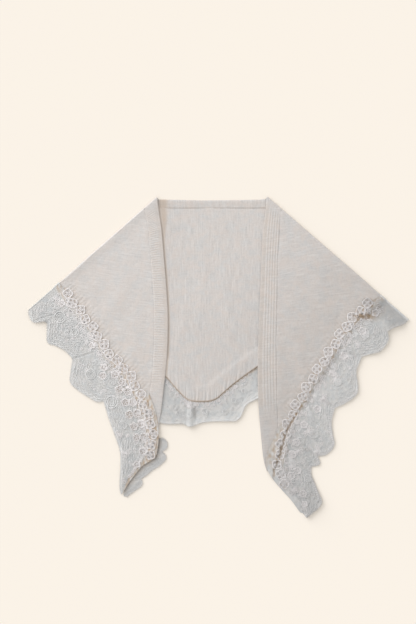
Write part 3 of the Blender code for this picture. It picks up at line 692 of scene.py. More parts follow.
# %% Lace net
def net_finish(name, cell):
    """Fine net with open holes, closed where the embroidery is dense."""
    made = Finish(name, 0.85, 0.15)
    grain, _ = made.note("grain")
    _, (tan, pale, dense) = made.note("marks")
    cells = made.add(
        "ShaderNodeTexVoronoi", {"Vector": grain, "Scale": 1.0 / cell, "Randomness": 0.35},
        feature="DISTANCE_TO_EDGE", voronoi_dimensions="2D",
    ).outputs["Distance"]
    # Near the border of two cells there is thread, in the middle of a cell none
    thread = made.spread(cells, 0.10, 0.22, 1.0, 0.0)
    fill = made.math("MAXIMUM", thread, dense)
    made.relief(made.math("ADD", fill, made.cloudy(grain, 0.5, 3.0)), 0.5, 0.8)
    cool = made.spread(made.cloudy(grain, 0.06, 2.0), 0.40, 0.60)
    colour = made.mix(cool, NET, NET_COOL)
    # Painted light, painted tan shadow and painted shade, as the notes on the mesh ask
    colour = made.mix(pale, colour, PALE)
    colour = made.mix(tan, colour, TAN)
    colour = made.mix(made.spread(pale, -1.0, 0.0, 1.0, 0.0), colour, SHADE)
    made.colour(colour)
    # Even an opening keeps some cover, as the finest threads do
    open_hole = made.spread(fill, 0.0, 0.6, 0.45, 1.0)
    made.tree.links.new(open_hole, made.shader.inputs["Alpha"])
    made.material.diffuse_color = NET
    return made.material


lace_net = net_finish("embroidered_net", 2.0)
print("net finish:", lace_net.name)

# %% Embroidery thread
TWIST_LENGTH = 0.9


def cord_finish(name, colour, shade):
    """Twisted embroidery thread: fine slanting strands and a low gloss."""
    made = Finish(name, 0.7, 0.2)
    grain, (along, _, _) = made.note("grain")
    strands = made.math("SINE", made.math("MULTIPLY", along, 2 * math.pi / TWIST_LENGTH))
    made.relief(made.math("ADD", strands, made.cloudy(grain, 1.2)), 0.15, 0.6)
    _, (tan, pale, _) = made.note("marks")
    uneven = made.mix(made.spread(made.cloudy(grain, 0.3, 2.0), 0.35, 0.65), colour, shade)
    # Painted tan shadow and painted shade, taken from the lace under the thread
    uneven = made.mix(tan, uneven, TAN)
    made.colour(made.mix(made.spread(pale, -1.0, 0.0, 1.0, 0.0), uneven, SHADE))
    made.material.diffuse_color = colour
    return made.material


bright_cord = cord_finish("bright_flower_cord", (0.95, 0.93, 0.94, 1.0), (0.85, 0.80, 0.78, 1.0))
grey_cord = cord_finish("soft_scroll_cord", (0.84, 0.83, 0.82, 1.0), (0.72, 0.725, 0.73, 1.0))
print("thread finishes:", bright_cord.name, grey_cord.name)

# %% [markdown]
# ## The back
#
# The back lies wrong side up on the table. Its hem is gathered onto the lace, so
# small folds fan out from it and fade within a few centimetres, and near the hem
# it climbs onto the lace under it. A shell drawn station by station, from hem to
# neck, lets the gathers follow the curve of the hem.

# %% Where the back meets the folds
def back_inner_line(front, along):
    reach = FOLD_SHIFT + FOLD_LEG + SEAM_GAP
    return front.shoulder + front.along * along + front.inward * reach


def back_corner(front, y):
    start = back_inner_line(front, 0.0)
    return back_inner_line(front, (y - start.y) / front.along.y)


def lace_fold_row(front, shares):
    def plan(row):
        inner, hem, edge = front.lace_lines(row)
        return [inner.lerp(hem, s) if s <= 1 else hem.lerp(edge, s - 1) for s in shares]

    return front.fold_row(plan(0), plan(0.5))


def back_end(front):
    inner, hem, edge = lace_fold_row(front, (0.0, 1.0, 2.0))
    reach = front.inward * (FOLD_LEG + SEAM_GAP)
    return inner + reach, hem + reach, edge + reach


_, left_hem, left_edge = back_end(LEFT)
_, right_hem, right_edge = back_end(RIGHT)
stations = [(0, *left_hem, *left_edge)] + BACK_HEM + [(BACK_LAST, *right_hem, *right_edge)]
back_station = smooth(stations)
back_edge = smooth([(row[0], *row[3:]) for row in stations], (8, 12, 14, 17))


def back_hem(station):
    return Vector(back_station(station)[:2])


BACK_HEM_LINE = [back_hem(i * 0.5) for i in range(2 * BACK_LAST + 1)]


def back_raise(point):
    return BACK_KNIT_RAISE * (1 - ramp(distance_to(BACK_HEM_LINE, point), *BACK_KNIT_SETTLES))


def back_upper(station):
    """Where a station of the hem ends, at a fold or at the neck seam."""
    y = NECK_SEAM - SEAM_GAP / 2
    short = 12.0
    stops = [
        (0.0, back_inner_line(LEFT, (LEFT.corner - LEFT.shoulder).length - short)),
        (6.5, back_corner(LEFT, y)),
        (20.5, back_corner(RIGHT, y)),
        (27.0, back_inner_line(RIGHT, (RIGHT.corner - RIGHT.shoulder).length - short)),
    ]
    for (a, start), (b, end) in zip(stops, stops[1:]):
        if station <= b:
            return start.lerp(end, (station - a) / (b - a))
    return stops[-1][1]


print("hem of the back:", round(line_length(BACK_HEM_LINE)), "mm")

# %% The band's own lines
def band_line(front, station, share):
    """A point of the band: share 0 on its front edge, 1 at the seam."""
    x, y, seam_y = front.front(station)
    seam = Vector((front.band_inside(seam_y), seam_y))
    edge = Vector((x, y))
    inside = (edge - seam).normalized() * SEAM_GAP
    return edge.lerp(seam + inside, share)


def front_edge_line(front):
    return [band_line(front, i / 80, 0.0) for i in range(81)]


LEFT_FRONT_LINE = front_edge_line(LEFT)
print("front edge of the left band:", round(line_length(LEFT_FRONT_LINE)), "mm")

# %% The back's knit shell
SEAM_LAP = 1.3
GATHERS = 26
GATHER_HEIGHT = 0.5


def back_knit_shell():
    gather = smooth([(7.6, 0.0), (8.6, 1.0), (19.4, 1.0), (20.4, 0.0)])
    uneven, fine_uneven = waves(3, 7, 60, 170), waves(5, 8, 14, 34)
    columns = [i * 0.5 for i in range(15)] + [7.5 + i * 0.07 for i in range(187)]
    columns += [20.6 + i * 0.4 for i in range(17)]
    shares = [(i / 24) ** 1.15 * 0.16 for i in range(24)] + [0.16 + 0.84 * i / 76 for i in range(76)]
    shares += [0.995, 1.0]
    points, grain, marks = [], [], []
    for column in columns:
        hem, upper = back_hem(column), back_upper(min(column, 27.0))
        length = (upper - hem).length
        line, notes, places = [], [], []
        lap = SEAM_LAP / length if 6.5 < column < 20.5 else 0.0
        for share in shares + [1.0 + lap]:
            p = hem.lerp(upper, share)
            from_hem = share * length
            height = back_raise(p) + KNIT_THICK + crease_height(BACK_CREASES, *p)
            height -= 0.25 * (1 - ramp((p - upper).length, 0.5, 4.0)) * (lap > 0)
            height += 0.22 * uneven(*p) + 0.10 * fine_uneven(*p)
            # Gathers reach 12 to 40 mm from the hem, and no two are alike
            reach = 26 + 9 * math.sin(column * 2.3) + 5 * math.sin(column * 7.1)
            fade = math.exp(-((from_hem / reach) ** 2)) * gather(column)
            phase = 2 * math.pi * (column - 8) / 12 * GATHERS + 1.3 * math.sin(column * 3.1)
            fade *= 0.62 + 0.38 * math.sin(column * 4.7 + 1.0)
            height += GATHER_HEIGHT * fade * math.cos(phase)
            height -= 0.7 * math.exp(-from_hem / 1.5)
            # Painted shade in the troughs of the gathers, and a painted tan shadow along the hem
            tan = 0.30 * fade * max(0.0, -math.cos(phase)) * math.exp(-from_hem / 12)
            tan = max(tan, 0.85 * math.exp(-((from_hem / 2.3) ** 2)))
            # A tan wedge of painted shadow beside the left band, and a painted pale line along the
            # band's edge that lightens the shadow there
            near_left = distance_to(LEFT_FRONT_LINE, p) if -175 < p.x < -105 else 99.0
            wedge = 15.0 * ramp(p.y, 285, 372) + 4.8
            tan = max(tan, 0.42 * (1 - ramp(near_left, wedge * 0.6, wedge * 1.3)))
            line.append((p.x, p.y, height))
            places.append((p.x, p.y, 0.0))
            # Painted highlight on the crests of the gathers, and painted shade toward the lower right
            pale = 0.12 * fade * max(0.0, math.cos(phase)) + min(0.0, painted_light_and_shade(*p))
            pale += 0.8 * (1 - ramp(near_left, 3.0, 7.0)) * ramp(p.y, -60, 60)
            notes.append((tan, pale, 1.0))
        points.append(line)
        grain.append(places)
        marks.append(notes)
    return shell("back_knit", points, fine_knit, grain, marks, thick=SHELL_WALL)


back_knit = back_knit_shell()

# %% [markdown]
# ## The folded fronts
#
# Each front starts with a short leg under the fold, rounds over it, and runs on to
# its hem. The bend is a half circle swept along the fold, which is what a soft
# knit does when it isn't pressed. Past the fold the shell follows the height that
# the solid has, with the slow unevenness of cloth that was laid by hand.

# %% The bend at a fold
BEND_STEPS = 10


def bend(front, plan, lower, upper, thick):
    """Outer points of the rounded fold, from its lower leg up to its top."""
    rows = [[(*(p + front.inward * FOLD_LEG), z - thick) for p, z in zip(plan, lower)]]
    for step in range(BEND_STEPS + 1):
        angle = math.pi * (step / BEND_STEPS - 0.5)
        row = []
        for p, low, high in zip(plan, lower, upper):
            radius = (high - low) / 2 + thick
            place = p - front.inward * (radius * math.cos(angle))
            row.append((*place, (low + high) / 2 + radius * math.sin(angle)))
        rows.append(row)
    return rows


def unfolded(front, p):
    """Where a point of a front lay before the end was folded over."""
    depth = (p - front.shoulder).dot(front.inward)
    flat = p - front.inward * (2 * depth)
    return (flat.x, flat.y, 0.0)


print("steps round a fold:", BEND_STEPS)

# %% The fronts' knit shells
FLOWER_RAISE = 0.6
# The first row past the bend of a fold
FIRST_ROW = 0.25


def knit_shell_row(front, row, columns):
    """A cloth row that runs on a little way under the band."""
    places = front.knit_row(row, columns)
    toward = (places[0] - places[1]).normalized()
    return [places[0] + toward * SEAM_LAP] + places


PUCKER_STEP = 8.5
WARM_NEAR_LACE = {"left": 0.03, "right": 0.055}


def front_knit_shell(front, columns=72, row_step=0.08):
    uneven, fine_uneven = waves(7, 7, 50, 150), waves(9, 8, 12, 30)
    plan = front.fold_row(
        knit_shell_row(front, 0, columns), knit_shell_row(front, 0.5, columns)
    )
    lower = [back_raise(p + front.inward * FOLD_LEG) + KNIT_THICK for p in plan]
    upper = [front.base(p) for p in plan]
    points = bend(front, plan, lower, upper, KNIT_THICK)
    flat = [[Vector(q[:2]) for q in row] for row in points]
    marks = [[(0.0, painted_light_and_shade(*p), 1.0) for p in row] for row in flat]
    steps = int((front.knit_end - FIRST_ROW) / row_step)
    travelled, before = 0.0, None
    for i in range(steps + 1):
        row = FIRST_ROW + (front.knit_end - FIRST_ROW) * i / steps
        line, places = [], knit_shell_row(front, row, columns)
        hem, seam = places[-1], places[0]
        travelled += (hem - before).length if before else 0.0
        before = hem
        gather = math.cos(2 * math.pi * travelled / PUCKER_STEP + math.sin(travelled / 17))
        notes, starts = [], ramp(row, 1.0, 1.7)
        for p in places:
            from_hem = (p - hem).length
            height = front.base(p) + KNIT_THICK
            height -= 0.35 * (1 - ramp((p - seam).length, 0.6, 4.6))
            height += FLOWER_RAISE * (1 - ramp((p - hem).length, 20, 34)) * ramp(row, 0.3, 1.5)
            # Puckers fan out from the stitches of the flower edge
            pucker = math.exp(-(((p - hem).length - 30) / 14) ** 2)
            height += 0.22 * uneven(*p) + (0.10 + 0.22 * pucker) * fine_uneven(*p)
            fan = ramp(from_hem, 10, 16) * (1 - ramp(from_hem, 20, 42)) * starts
            height += 0.28 * fan * gather
            line.append((p.x, p.y, height))
            # Painted tan shadow on the knit under the flower edge, which shows through its gaps, and
            # painted shade in the troughs of the puckers
            shade_under_lace = 0.72 * (1 - ramp(from_hem, 10, 15)) * starts
            blush = WARM_NEAR_LACE[front.name] * (1 - ramp(from_hem, 60, 190))
            notes.append((max(shade_under_lace, 0.10 * fan * (1 - gather), blush), painted_light_and_shade(*p), 1.0))
        points.append(line)
        marks.append(notes)
        flat.append(places)
    grain = [[unfolded(front, p) for p in row] for row in flat]
    return shell(front.name + "_front_knit", points, fine_knit, grain, marks, thick=SHELL_WALL)


left_front_knit = front_knit_shell(LEFT)
right_front_knit = front_knit_shell(RIGHT)

# %% [markdown]
# ## The ribbed band
#
# The band is a narrow strip knitted in rib. On the left front its ribs run across
# it, about 6 mm apart, and on the right front they run along it, five of them. Ribs
# this size show from a step away, so they are raised in the shell itself and not
# left to bump.

# %% Front bands
# How much lighter the left band's edge is, where it turns to the light
EDGE_LIGHT = 0.8
RIB_HEIGHT = 0.45
CROSS_RIBS = 98
LENGTH_RIBS = 5
# The plain selvedge takes this share of the right band
SELVEDGE = 0.22


def front_band_shell(front, stations, shares, relief):
    edge = [band_line(front, 0.0, s) for s in shares]
    plan = front.fold_row(edge, [band_line(front, 0.03, s) for s in shares])
    upper = [front.base(p) for p in plan]
    points = bend(front, plan, [KNIT_THICK] * len(plan), upper, KNIT_THICK)
    grain = [[unfolded(front, Vector(q[:2])) for q in row] for row in points]
    marks = [[(0.0, 0.0, 1.0)] * len(shares) for _ in points]
    for station in stations:
        line, places, notes = [], [], []
        for share in shares:
            p = band_line(front, station, share)
            shown = ramp(front.from_fold(p), 8, 24)
            shown *= ramp(p.y, front.rib_end - 15, front.rib_end + 45)
            rib = relief(station, share)
            height = front.base(p) + KNIT_THICK + RIB_HEIGHT * rib * shown
            height -= 0.7 * math.exp(-share / 0.05) + 0.3 * math.exp(-(1 - share) / 0.06)
            line.append((p.x, p.y, height))
            places.append(unfolded(front, p))
            # Painted light with a tan tint on the left band's edge where it turns to the light, painted
            # tan shade between the ribs, and a painted highlight on the ribs
            edge_light = EDGE_LIGHT * math.exp(-share / 0.05) * ramp(p.y, -60, 60)
            edge_light *= front is LEFT
            tan = max(0.16 * (1 - rib) * shown, 0.5 * edge_light)
            notes.append((tan, 0.10 * rib * shown + painted_light_and_shade(*p) + edge_light, 1.0))
        points.append(line)
        grain.append(places)
        marks.append(notes)
    return shell(front.name + "_front_rib", points, rib_knit, grain, marks, thick=SHELL_WALL)


def cross_rib(station, share):
    return (0.5 + 0.5 * math.cos(2 * math.pi * station * CROSS_RIBS)) * ramp(share, 0.18, 0.34)


def length_rib(station, share):
    place = (share - SELVEDGE) / (1 - SELVEDGE) * LENGTH_RIBS
    return (0.5 - 0.5 * math.cos(2 * math.pi * place)) if place > 0 else 0.0


left_band = front_band_shell(
    LEFT, [0.02 + 0.98 * i / 588 for i in range(589)],
    [i / 15 for i in range(16)], cross_rib,
)
right_band = front_band_shell(
    RIGHT, [0.02 + 0.98 * i / 230 for i in range(231)],
    [i / 42 for i in range(43)], length_rib,
)


# %% The band behind the neck
NECK_RIBS = 78
NECK_RIB_HEIGHT = 0.28


def neck_band_shell():
    y = NECK_SEAM + SEAM_GAP / 2
    left_low, right_low = back_corner(LEFT, y), back_corner(RIGHT, y)
    left_top, right_top = back_inner_line(LEFT, 0.0), back_inner_line(RIGHT, 0.0)
    upper_edge = smooth([(0.0, *left_top)] + BACK_TOP + [(1.0, *right_top)])
    columns, rows = 390, 10
    points, marks = [], []
    for i in range(columns + 1):
        share = i / columns
        high, low = upper_edge(share), left_low.lerp(right_low, share)
        rib = 0.5 + 0.5 * math.cos(2 * math.pi * share * NECK_RIBS)
        line, notes = [], []
        for j in range(rows + 1):
            p = high.lerp(low, j / rows)
            shown = ramp(j / rows, 0.0, 0.25) * (1 - ramp(j / rows, 0.85, 1.0))
            height = KNIT_THICK + NECK_RIB_HEIGHT * rib * shown
            height -= 0.5 * math.exp(-j) + 0.15 * math.exp(-(rows - j) / 0.8)
            line.append((p.x, p.y, height))
            # Painted tan shade between the ribs and along the seam, and a painted shadow where the left
            # front's edge lies over the band
            seam_shade = 0.35 * math.exp(-(rows - j) / 0.7)
            under_front = 0.45 * math.exp(-(((p.x + 138) / 13) ** 4))
            notes.append((max(0.12 * (1 - rib) * shown, seam_shade, under_front), 0.03, 1.0))
        points.append(line)
        marks.append(notes)
    return shell("neck_rib", points, rib_knit, points, marks, thick=SHELL_WALL)


neck_band = neck_band_shell()

# %% [markdown]
# ## The openwork of the lace
#
# A flower edge runs along the border: a flower every 26 mm, leaves between them,
# and open ground on the outer side. Its gaps are real holes. The solid has them as
# small upright lozenges, and here each is a rounded hole in the same place. To
# keep a hole's rim clean, the grid points near it are first moved onto the rim,
# and only then are the quads inside left out.

# %% Where the gaps go
FLOWER_STEP = 26.0
PETAL_GAPS = 4
PETAL_RADIUS = 6.8
PETAL_SIZE = (7.6, 5.6)
LEAF_SIZE = (10.0, 5.6)
GROUND_SIZE = (12.0, 6.4)
GAP_BAR = 1.0
ROUND_SHARE = 0.43


def even_steps(line, step):
    """Places at even steps along a line, each with the way ahead."""
    places, travelled, wanted = [], 0.0, step / 2
    for a, b in zip(line, line[1:]):
        length = (b - a).length
        while travelled + length > wanted:
            places.append((a.lerp(b, (wanted - travelled) / length), (b - a).normalized()))
            wanted += step
        travelled += length
    return places


def spine(place, ahead, size):
    half = ahead * ((size[0] - size[1]) / 2)
    return (place - half, place, place + half)


def openwork(line, side, with_flowers=True):
    """Flowers and gaps along a line: a gap is its kind, place, way ahead and size."""
    flowers, gaps, spines = [], [], []

    def add(kind, place, ahead, size):
        for other, width in spines:
            room = (size[1] + width) / 2 + GAP_BAR
            if any((a - b).length < room for a in spine(place, ahead, size) for b in other):
                return
        spines.append((spine(place, ahead, size), size[1]))
        gaps.append((kind, place, ahead, size))

    places = even_steps(line, FLOWER_STEP)
    for number, (place, ahead) in enumerate(places):
        across = sideways(ahead) * side
        if with_flowers:
            flower = place + across * (2.5 if number % 2 else -2.5)
            flowers.append((flower, ahead, number))
            for petal in range(PETAL_GAPS):
                angle = 2 * math.pi * petal / PETAL_GAPS + 0.4 * number
                out = pointing(angle)
                add("petal", flower + out * PETAL_RADIUS, out, PETAL_SIZE)
        if number + 1 < len(places):
            between = place.lerp(places[number + 1][0], 0.5)
            add("leaf", between + across * 9.0, ahead, LEAF_SIZE)
            if with_flowers:
                add("ground", between + across * 19.0, ahead, GROUND_SIZE)
    return flowers, gaps


def flower_line(front, first, last):
    line = []
    for i in range(int((last - first) * 4) + 1):
        inner, hem, _ = front.lace_lines(first + i * 0.25)
        line.append(hem.lerp(inner, 0.25))
    return line


left_flowers, left_gaps = openwork(flower_line(LEFT, 1.5, 25.5), -1)
right_flowers, right_gaps = openwork(flower_line(RIGHT, 1.5, 25.0), 1)
back_line = [back_hem(8 + i * 0.25) for i in range(49)]
_, back_gaps = openwork(back_line, -1, with_flowers=False)
print("flowers:", len(left_flowers), len(right_flowers))
print("gaps:", len(left_gaps), len(right_gaps), len(back_gaps))


# %% Holes in a grid
def gap_frame(points, place, ahead, size):
    """Each point's distance from a gap's middle, 1 on its rim."""
    dx, dy = points[..., 0] - place.x, points[..., 1] - place.y
    along, across = dx * ahead.x + dy * ahead.y, -dx * ahead.y + dy * ahead.x
    return np.sqrt((along / (size[0] * ROUND_SHARE)) ** 2 + (across / (size[1] * ROUND_SHARE)) ** 2)


def open_gaps(points, gaps, start=0):
    """Move grid points onto the rims, and say which quads stay."""
    grid = points[start:]
    for _, place, ahead, size in gaps:
        reach = gap_frame(grid, place, ahead, size)
        near = (reach > 0.74) & (reach < 1.3)
        for axis, middle in ((0, place.x), (1, place.y)):
            values = grid[..., axis]
            values[near] = middle + (values[near] - middle) / reach[near]
    centres = (points[:-1, :-1] + points[1:, 1:] + points[:-1, 1:] + points[1:, :-1]) / 4
    keep = np.ones(centres.shape[:2], bool)
    for _, place, ahead, size in gaps:
        inside = gap_frame(centres, place, ahead, size) < 0.97
        inside[:start] = False
        keep &= ~inside
    return keep


print("half a petal gap, long and wide:", *[round(s * ROUND_SHARE, 1) for s in PETAL_SIZE])

# %% [markdown]
# ## The lace border
#
# Each front's border is one long shell, from the flower edge on the knit, down
# over the hem, to the scallops on the table. It is sewn on slightly full, so it
# ripples between the scallops. The left border ends in a tip that is turned under.

# %% Where the border dips
# Valley past the right border's flowers: row, mm past the hem, depth, half width, and tan, how much
# painted tan shade lies in it
valley_at = smooth([
    (0, 26, 0.2, 9, 0.1), (1, 24, 0.5, 10, 0.35), (2.5, 21, 0.8, 12, 0.38), (5, 17, 0.6, 12, 0.33),
    (9, 14, 0.5, 12, 0.33), (14, 13, 0.5, 11, 0.35), (16.5, 8, 0.6, 8, 0.42),
    (18, 1, 0.9, 4.0, 0.6), (20, -5, 1.0, 2.6, 0.7), (22, -10, 1.0, 2.4, 0.7),
    (23.5, -24, 0.9, 2.4, 0.6),
    (24.3, -28, 0.0, 2.4, 0.0), (27, -28, 0.0, 2.4, 0.0),
])
# Short folds in the lace: name, start x, y, end x, y, depth
LACE_FOLDS = [
    ("left", -366, -2, -312, 14, 1.0), ("left", -457, 94, -405, 113, 0.8),
    ("left", -247, -205, -228, -150, 0.5), ("left", -300, -104, -262, -84, 0.4),
    ("right", 356, 6, 318, 18, 0.5), ("right", 292, -122, 262, -104, 0.6),
    ("right", 246, -240, 218, -228, 0.6),
]


def fold_depth(front, p):
    """How deep a point lies in the nearest short fold, 0 to 1."""
    deepest = 0.0
    for name, x0, y0, x1, y1, depth in LACE_FOLDS:
        if name == front.name and abs(p.x - (x0 + x1) / 2) < 45 and abs(p.y - (y0 + y1) / 2) < 45:
            off = distance_to([Vector((x0, y0)), Vector((x1, y1))], p)
            deepest = max(deepest, depth * math.exp(-((off / 3.2) ** 2)))
    return deepest


print("short folds:", len(LACE_FOLDS))

# %% Outer rings
# Where outer rings stand: border, row, share from hem to scallop, radius
OUTER_RINGS = [
    ("left", 3.0, 0.20, 7.5), ("left", 9.4, 0.24, 7.0), ("left", 12.4, 0.24, 8.0),
    ("left", 13.2, 0.40, 8.0), ("left", 14.0, 0.20, 9.0), ("left", 15.4, 0.20, 9.0),
    ("left", 16.0, 0.42, 9.0), ("left", 16.8, 0.20, 9.5), ("left", 17.6, 0.40, 9.0),
    ("left", 18.2, 0.20, 9.0), ("left", 19.0, 0.42, 9.5), ("left", 19.6, 0.20, 9.5),
    ("left", 20.4, 0.42, 9.0), ("left", 21.0, 0.20, 9.0), ("left", 21.8, 0.44, 8.5),
    ("left", 22.4, 0.22, 9.0), ("left", 23.8, 0.24, 8.5), ("left", 25.2, 0.33, 8.0),
    ("right", 2.4, 0.30, 8.0), ("right", 5.0, 0.34, 8.5), ("right", 8.4, 0.36, 8.0),
    ("right", 10.8, 0.30, 7.5), ("right", 14.4, 0.38, 8.5), ("right", 16.8, 0.34, 8.0),
    ("right", 19.0, 0.36, 8.5), ("right", 20.6, 0.28, 8.5), ("right", 21.8, 0.46, 8.0),
    ("right", 23.0, 0.25, 8.5), ("right", 24.4, 0.48, 8.0), ("right", 25.6, 0.5, 6.5),
]


def outer_rings(front):
    """Plan place and radius of a border's outer rings."""
    rings = []
    for name, row, share, radius in OUTER_RINGS:
        if name == front.name:
            _, hem, edge = front.lace_lines(row)
            rings.append((hem.lerp(edge, share), radius))
    return rings


print("outer rings:", len(outer_rings(LEFT)), len(outer_rings(RIGHT)))

# %% Rows of lace
LAP_COLUMNS = 24
GROUND_COLUMNS = 20
NET_COLUMNS = 34
GROUND_REACH = 24.0
PETAL_REACH = 13.0
# Past this row the border has its net again
PETALS_END = 18.5


def beyond_petals(centres, flowers, start, last):
    """Lap quads that lie outside every flower, so the border ends in petals."""
    near = np.full(centres.shape[:2], 1e9)
    for place, _, _ in flowers:
        away = np.hypot(centres[..., 0] - place.x, centres[..., 1] - place.y)
        near = np.minimum(near, away)
    outside = near > PETAL_REACH
    outside[:start - 1] = True
    outside[:, LAP_COLUMNS * 3 // 4:] = False
    outside[last:] = False
    return outside


def lace_columns():
    """Shares over the knit, then over the ground, then on to the scallop."""
    over = [i / LAP_COLUMNS for i in range(LAP_COLUMNS)]
    near = [i / GROUND_COLUMNS for i in range(GROUND_COLUMNS)]
    far = [i / NET_COLUMNS for i in range(NET_COLUMNS + 1)]
    return over, near, far


def lace_line(front, row):
    """Plan points across one lace row, with how each one settles."""
    inner, hem, edge = front.lace_lines(row)
    width = (edge - hem).length
    outward = (edge - hem).normalized()
    part = min(1.0, width / 100.0 * 1.6)
    ground = min(GROUND_REACH, width * 0.45)
    over, near, far = lace_columns()
    points = [(inner.lerp(hem, s), 0.0) for s in over]
    for d in [s * ground for s in near] + [ground + s * (width - ground) for s in far]:
        settled = ramp(d, 4.0 * part, 20.0 * part)
        turn = min(5.0, width * 0.2)
        settled += ramp(d, width - turn, width) if settled >= 1.0 else 0.0
        points.append((hem + outward * d, settled))
    return points


print("points in a row of lace:", len(lace_line(LEFT, 10)))

# %% Lace shells of the fronts
# How much of the knit's painted light and shade the lace takes
LACE_PAINTED_LIGHT_SHARE = 0.45
ROWS_PER_STEP = 24


def lace_shell(front, flowers, gaps, ripple_seed):
    ripple, small = waves(ripple_seed, 7, 28, 70), waves(ripple_seed + 1, 9, 9, 22)
    patchy = waves(ripple_seed + 2, 9, 7, 24)
    rings = outer_rings(front) if front is LEFT else []
    shares = (
        [i / LAP_COLUMNS for i in range(LAP_COLUMNS)]
        + [1.0 + 0.24 * i / GROUND_COLUMNS for i in range(GROUND_COLUMNS)]
        + [1.24 + 0.76 * i / NET_COLUMNS for i in range(NET_COLUMNS + 1)]
    )
    plan = lace_fold_row(front, shares)
    first = lace_line(front, 0.0)
    upper = [
        max(front.lace_under(p, 1.0, settled), LACE_THICK + 0.8)
        for p, (_, settled) in zip(plan, first)
    ]
    points = bend(front, plan, [LACE_THICK] * len(plan), upper, LACE_THICK)
    notes = [[(0.0, 0.0, 0.15)] * len(plan) for _ in points]
    start = len(points)
    steps = int((front.lace_end - FIRST_ROW) * ROWS_PER_STEP)
    for i in range(steps + 1):
        row = FIRST_ROW + (front.lace_end - FIRST_ROW) * i / steps
        over = 1 - ramp(row, front.tip_end, front.tip_end + 1.5)
        line, marks = [], []
        entries = lace_line(front, row)
        for column, (p, settled) in enumerate(entries):
            height = front.lace_under(p, over, settled) + LACE_THICK * 0.75
            past = max(0, column - LAP_COLUMNS) / (len(entries) - 1 - LAP_COLUMNS)
            free = ramp(front.from_fold(p), 6, 30)
            height += free * (0.15 + 0.9 * ramp(past, 0.2, 1.0)) * (0.45 * ripple(*p) + 0.55)
            height += front.edge_curl(row) * ramp(past, 0.25, 1.0) * free
            height += 0.22 * small(*p) * free
            dense = 0.25 + 0.35 * (1 - ramp(past, 0.0, 0.3)) + 0.25 * ramp(past, 0.93, 1.0)
            # Painted tan shade on the lace over the knit, fading outward past the hem
            spread = 0.25 + (0.30 * ramp(row, 9, 14) if front is LEFT else 0.0)
            warm = 0.40 + (0.12 * ramp(row, 9, 13) if front is LEFT else 0.0)
            warm *= (1 - ramp(past, 0.0, spread)) * (1 + 0.5 * patchy(*p))
            warm *= 1 - ramp(row, 22.0, 23.5) if front is RIGHT else 1.0
            # Part of the knit's painted light and shade, less the border's own painted shade
            pale = LACE_PAINTED_LIGHT_SHARE * painted_light_and_shade(*p) - front.lace_shade(row)
            # Painted tan shade and painted shade inside the outer rings
            for middle, radius in rings:
                if abs(p.x - middle.x) < 14 and abs(p.y - middle.y) < 14:
                    inside = 1 - ramp((p - middle).length, radius - 2, radius + 3)
                    warm = max(warm, 0.5 * inside)
                    pale -= 0.08 * inside
            fold = fold_depth(front, p) * free
            height += (0.5 - 1.3 * fold) * min(1.0, 3 * fold)
            if front is RIGHT:
                reach = (p - entries[LAP_COLUMNS][0]).length
                reach = reach if column >= LAP_COLUMNS else -reach
                offset, depth, half_width, tan = valley_at(row)
                off = (reach - offset + 2.0 * patchy(*p)) / half_width
                valley = max(0.0, depth) * math.exp(-off * off) * free
                height -= 0.8 * valley
                height += 0.9 * depth * free * math.exp(-(((reach - offset - 13) / 6.0) ** 2))
                # Painted shade and painted tan shade in the valley
                pale -= (0.08 + 0.22 * ramp(row, 17.5, 19)) * valley * (1 + 0.6 * patchy(*p))
                warm += 1.3 * tan * valley * (1 + 0.7 * patchy(*p) * (row < 18))
                # A hollow in the corner scallop, with painted brown shade in it
                hollow = math.exp(-(((p.x - 366) / 27) ** 2) - ((p.y - 104) / 11) ** 2)
                height -= 0.5 * hollow * free
                warm += 0.75 * hollow
                pale -= 0.08 * hollow
            # Painted shade along the short folds
            pale -= 0.22 * fold
            line.append((p.x, p.y, height))
            marks.append((warm, pale, dense))
        points.append(line)
        notes.append(marks)
    points = np.array(points, float)
    full = points.copy()
    grain = [[unfolded(front, Vector(q[:2])) for q in row] for row in points.tolist()]
    keep = open_gaps(points, gaps, start)
    centres = (points[:-1, :-1] + points[1:, 1:]) / 2
    last = start + int(steps * (PETALS_END - FIRST_ROW) / (front.lace_end - FIRST_ROW))
    keep &= ~beyond_petals(centres, flowers, start, last)
    piece = shell(front.name + "_front_net", points, lace_net, grain, notes, keep)
    return piece, full, notes


left_net, left_grid, left_notes = lace_shell(LEFT, left_flowers, left_gaps, 21)
right_net, right_grid, right_notes = lace_shell(RIGHT, right_flowers, right_gaps, 31)


# %% [markdown]
# ### The lace of the back
#
# Between the fronts the border comes out from under the hem of the back, and at one
# place it is pinched into a small tuck. A tuck could be sculpted. Here two short
# curves say how high it stands along and across the border.

# %% Lace of the back, with its pinched tuck
TUCK_HEIGHT = 3.6
TUCK_STATIONS = [(11.4, 0.0), (11.8, 0.65), (12.2, 1.0), (12.6, 0.9), (13.0, 0.4), (13.4, 0.0)]
TUCK_PROFILE = [(0.0, 0.0), (1.05, 0.4), (1.25, 0.8), (1.6, 1.0), (2.0, 1.0)]
BACK_CURL = 2.4


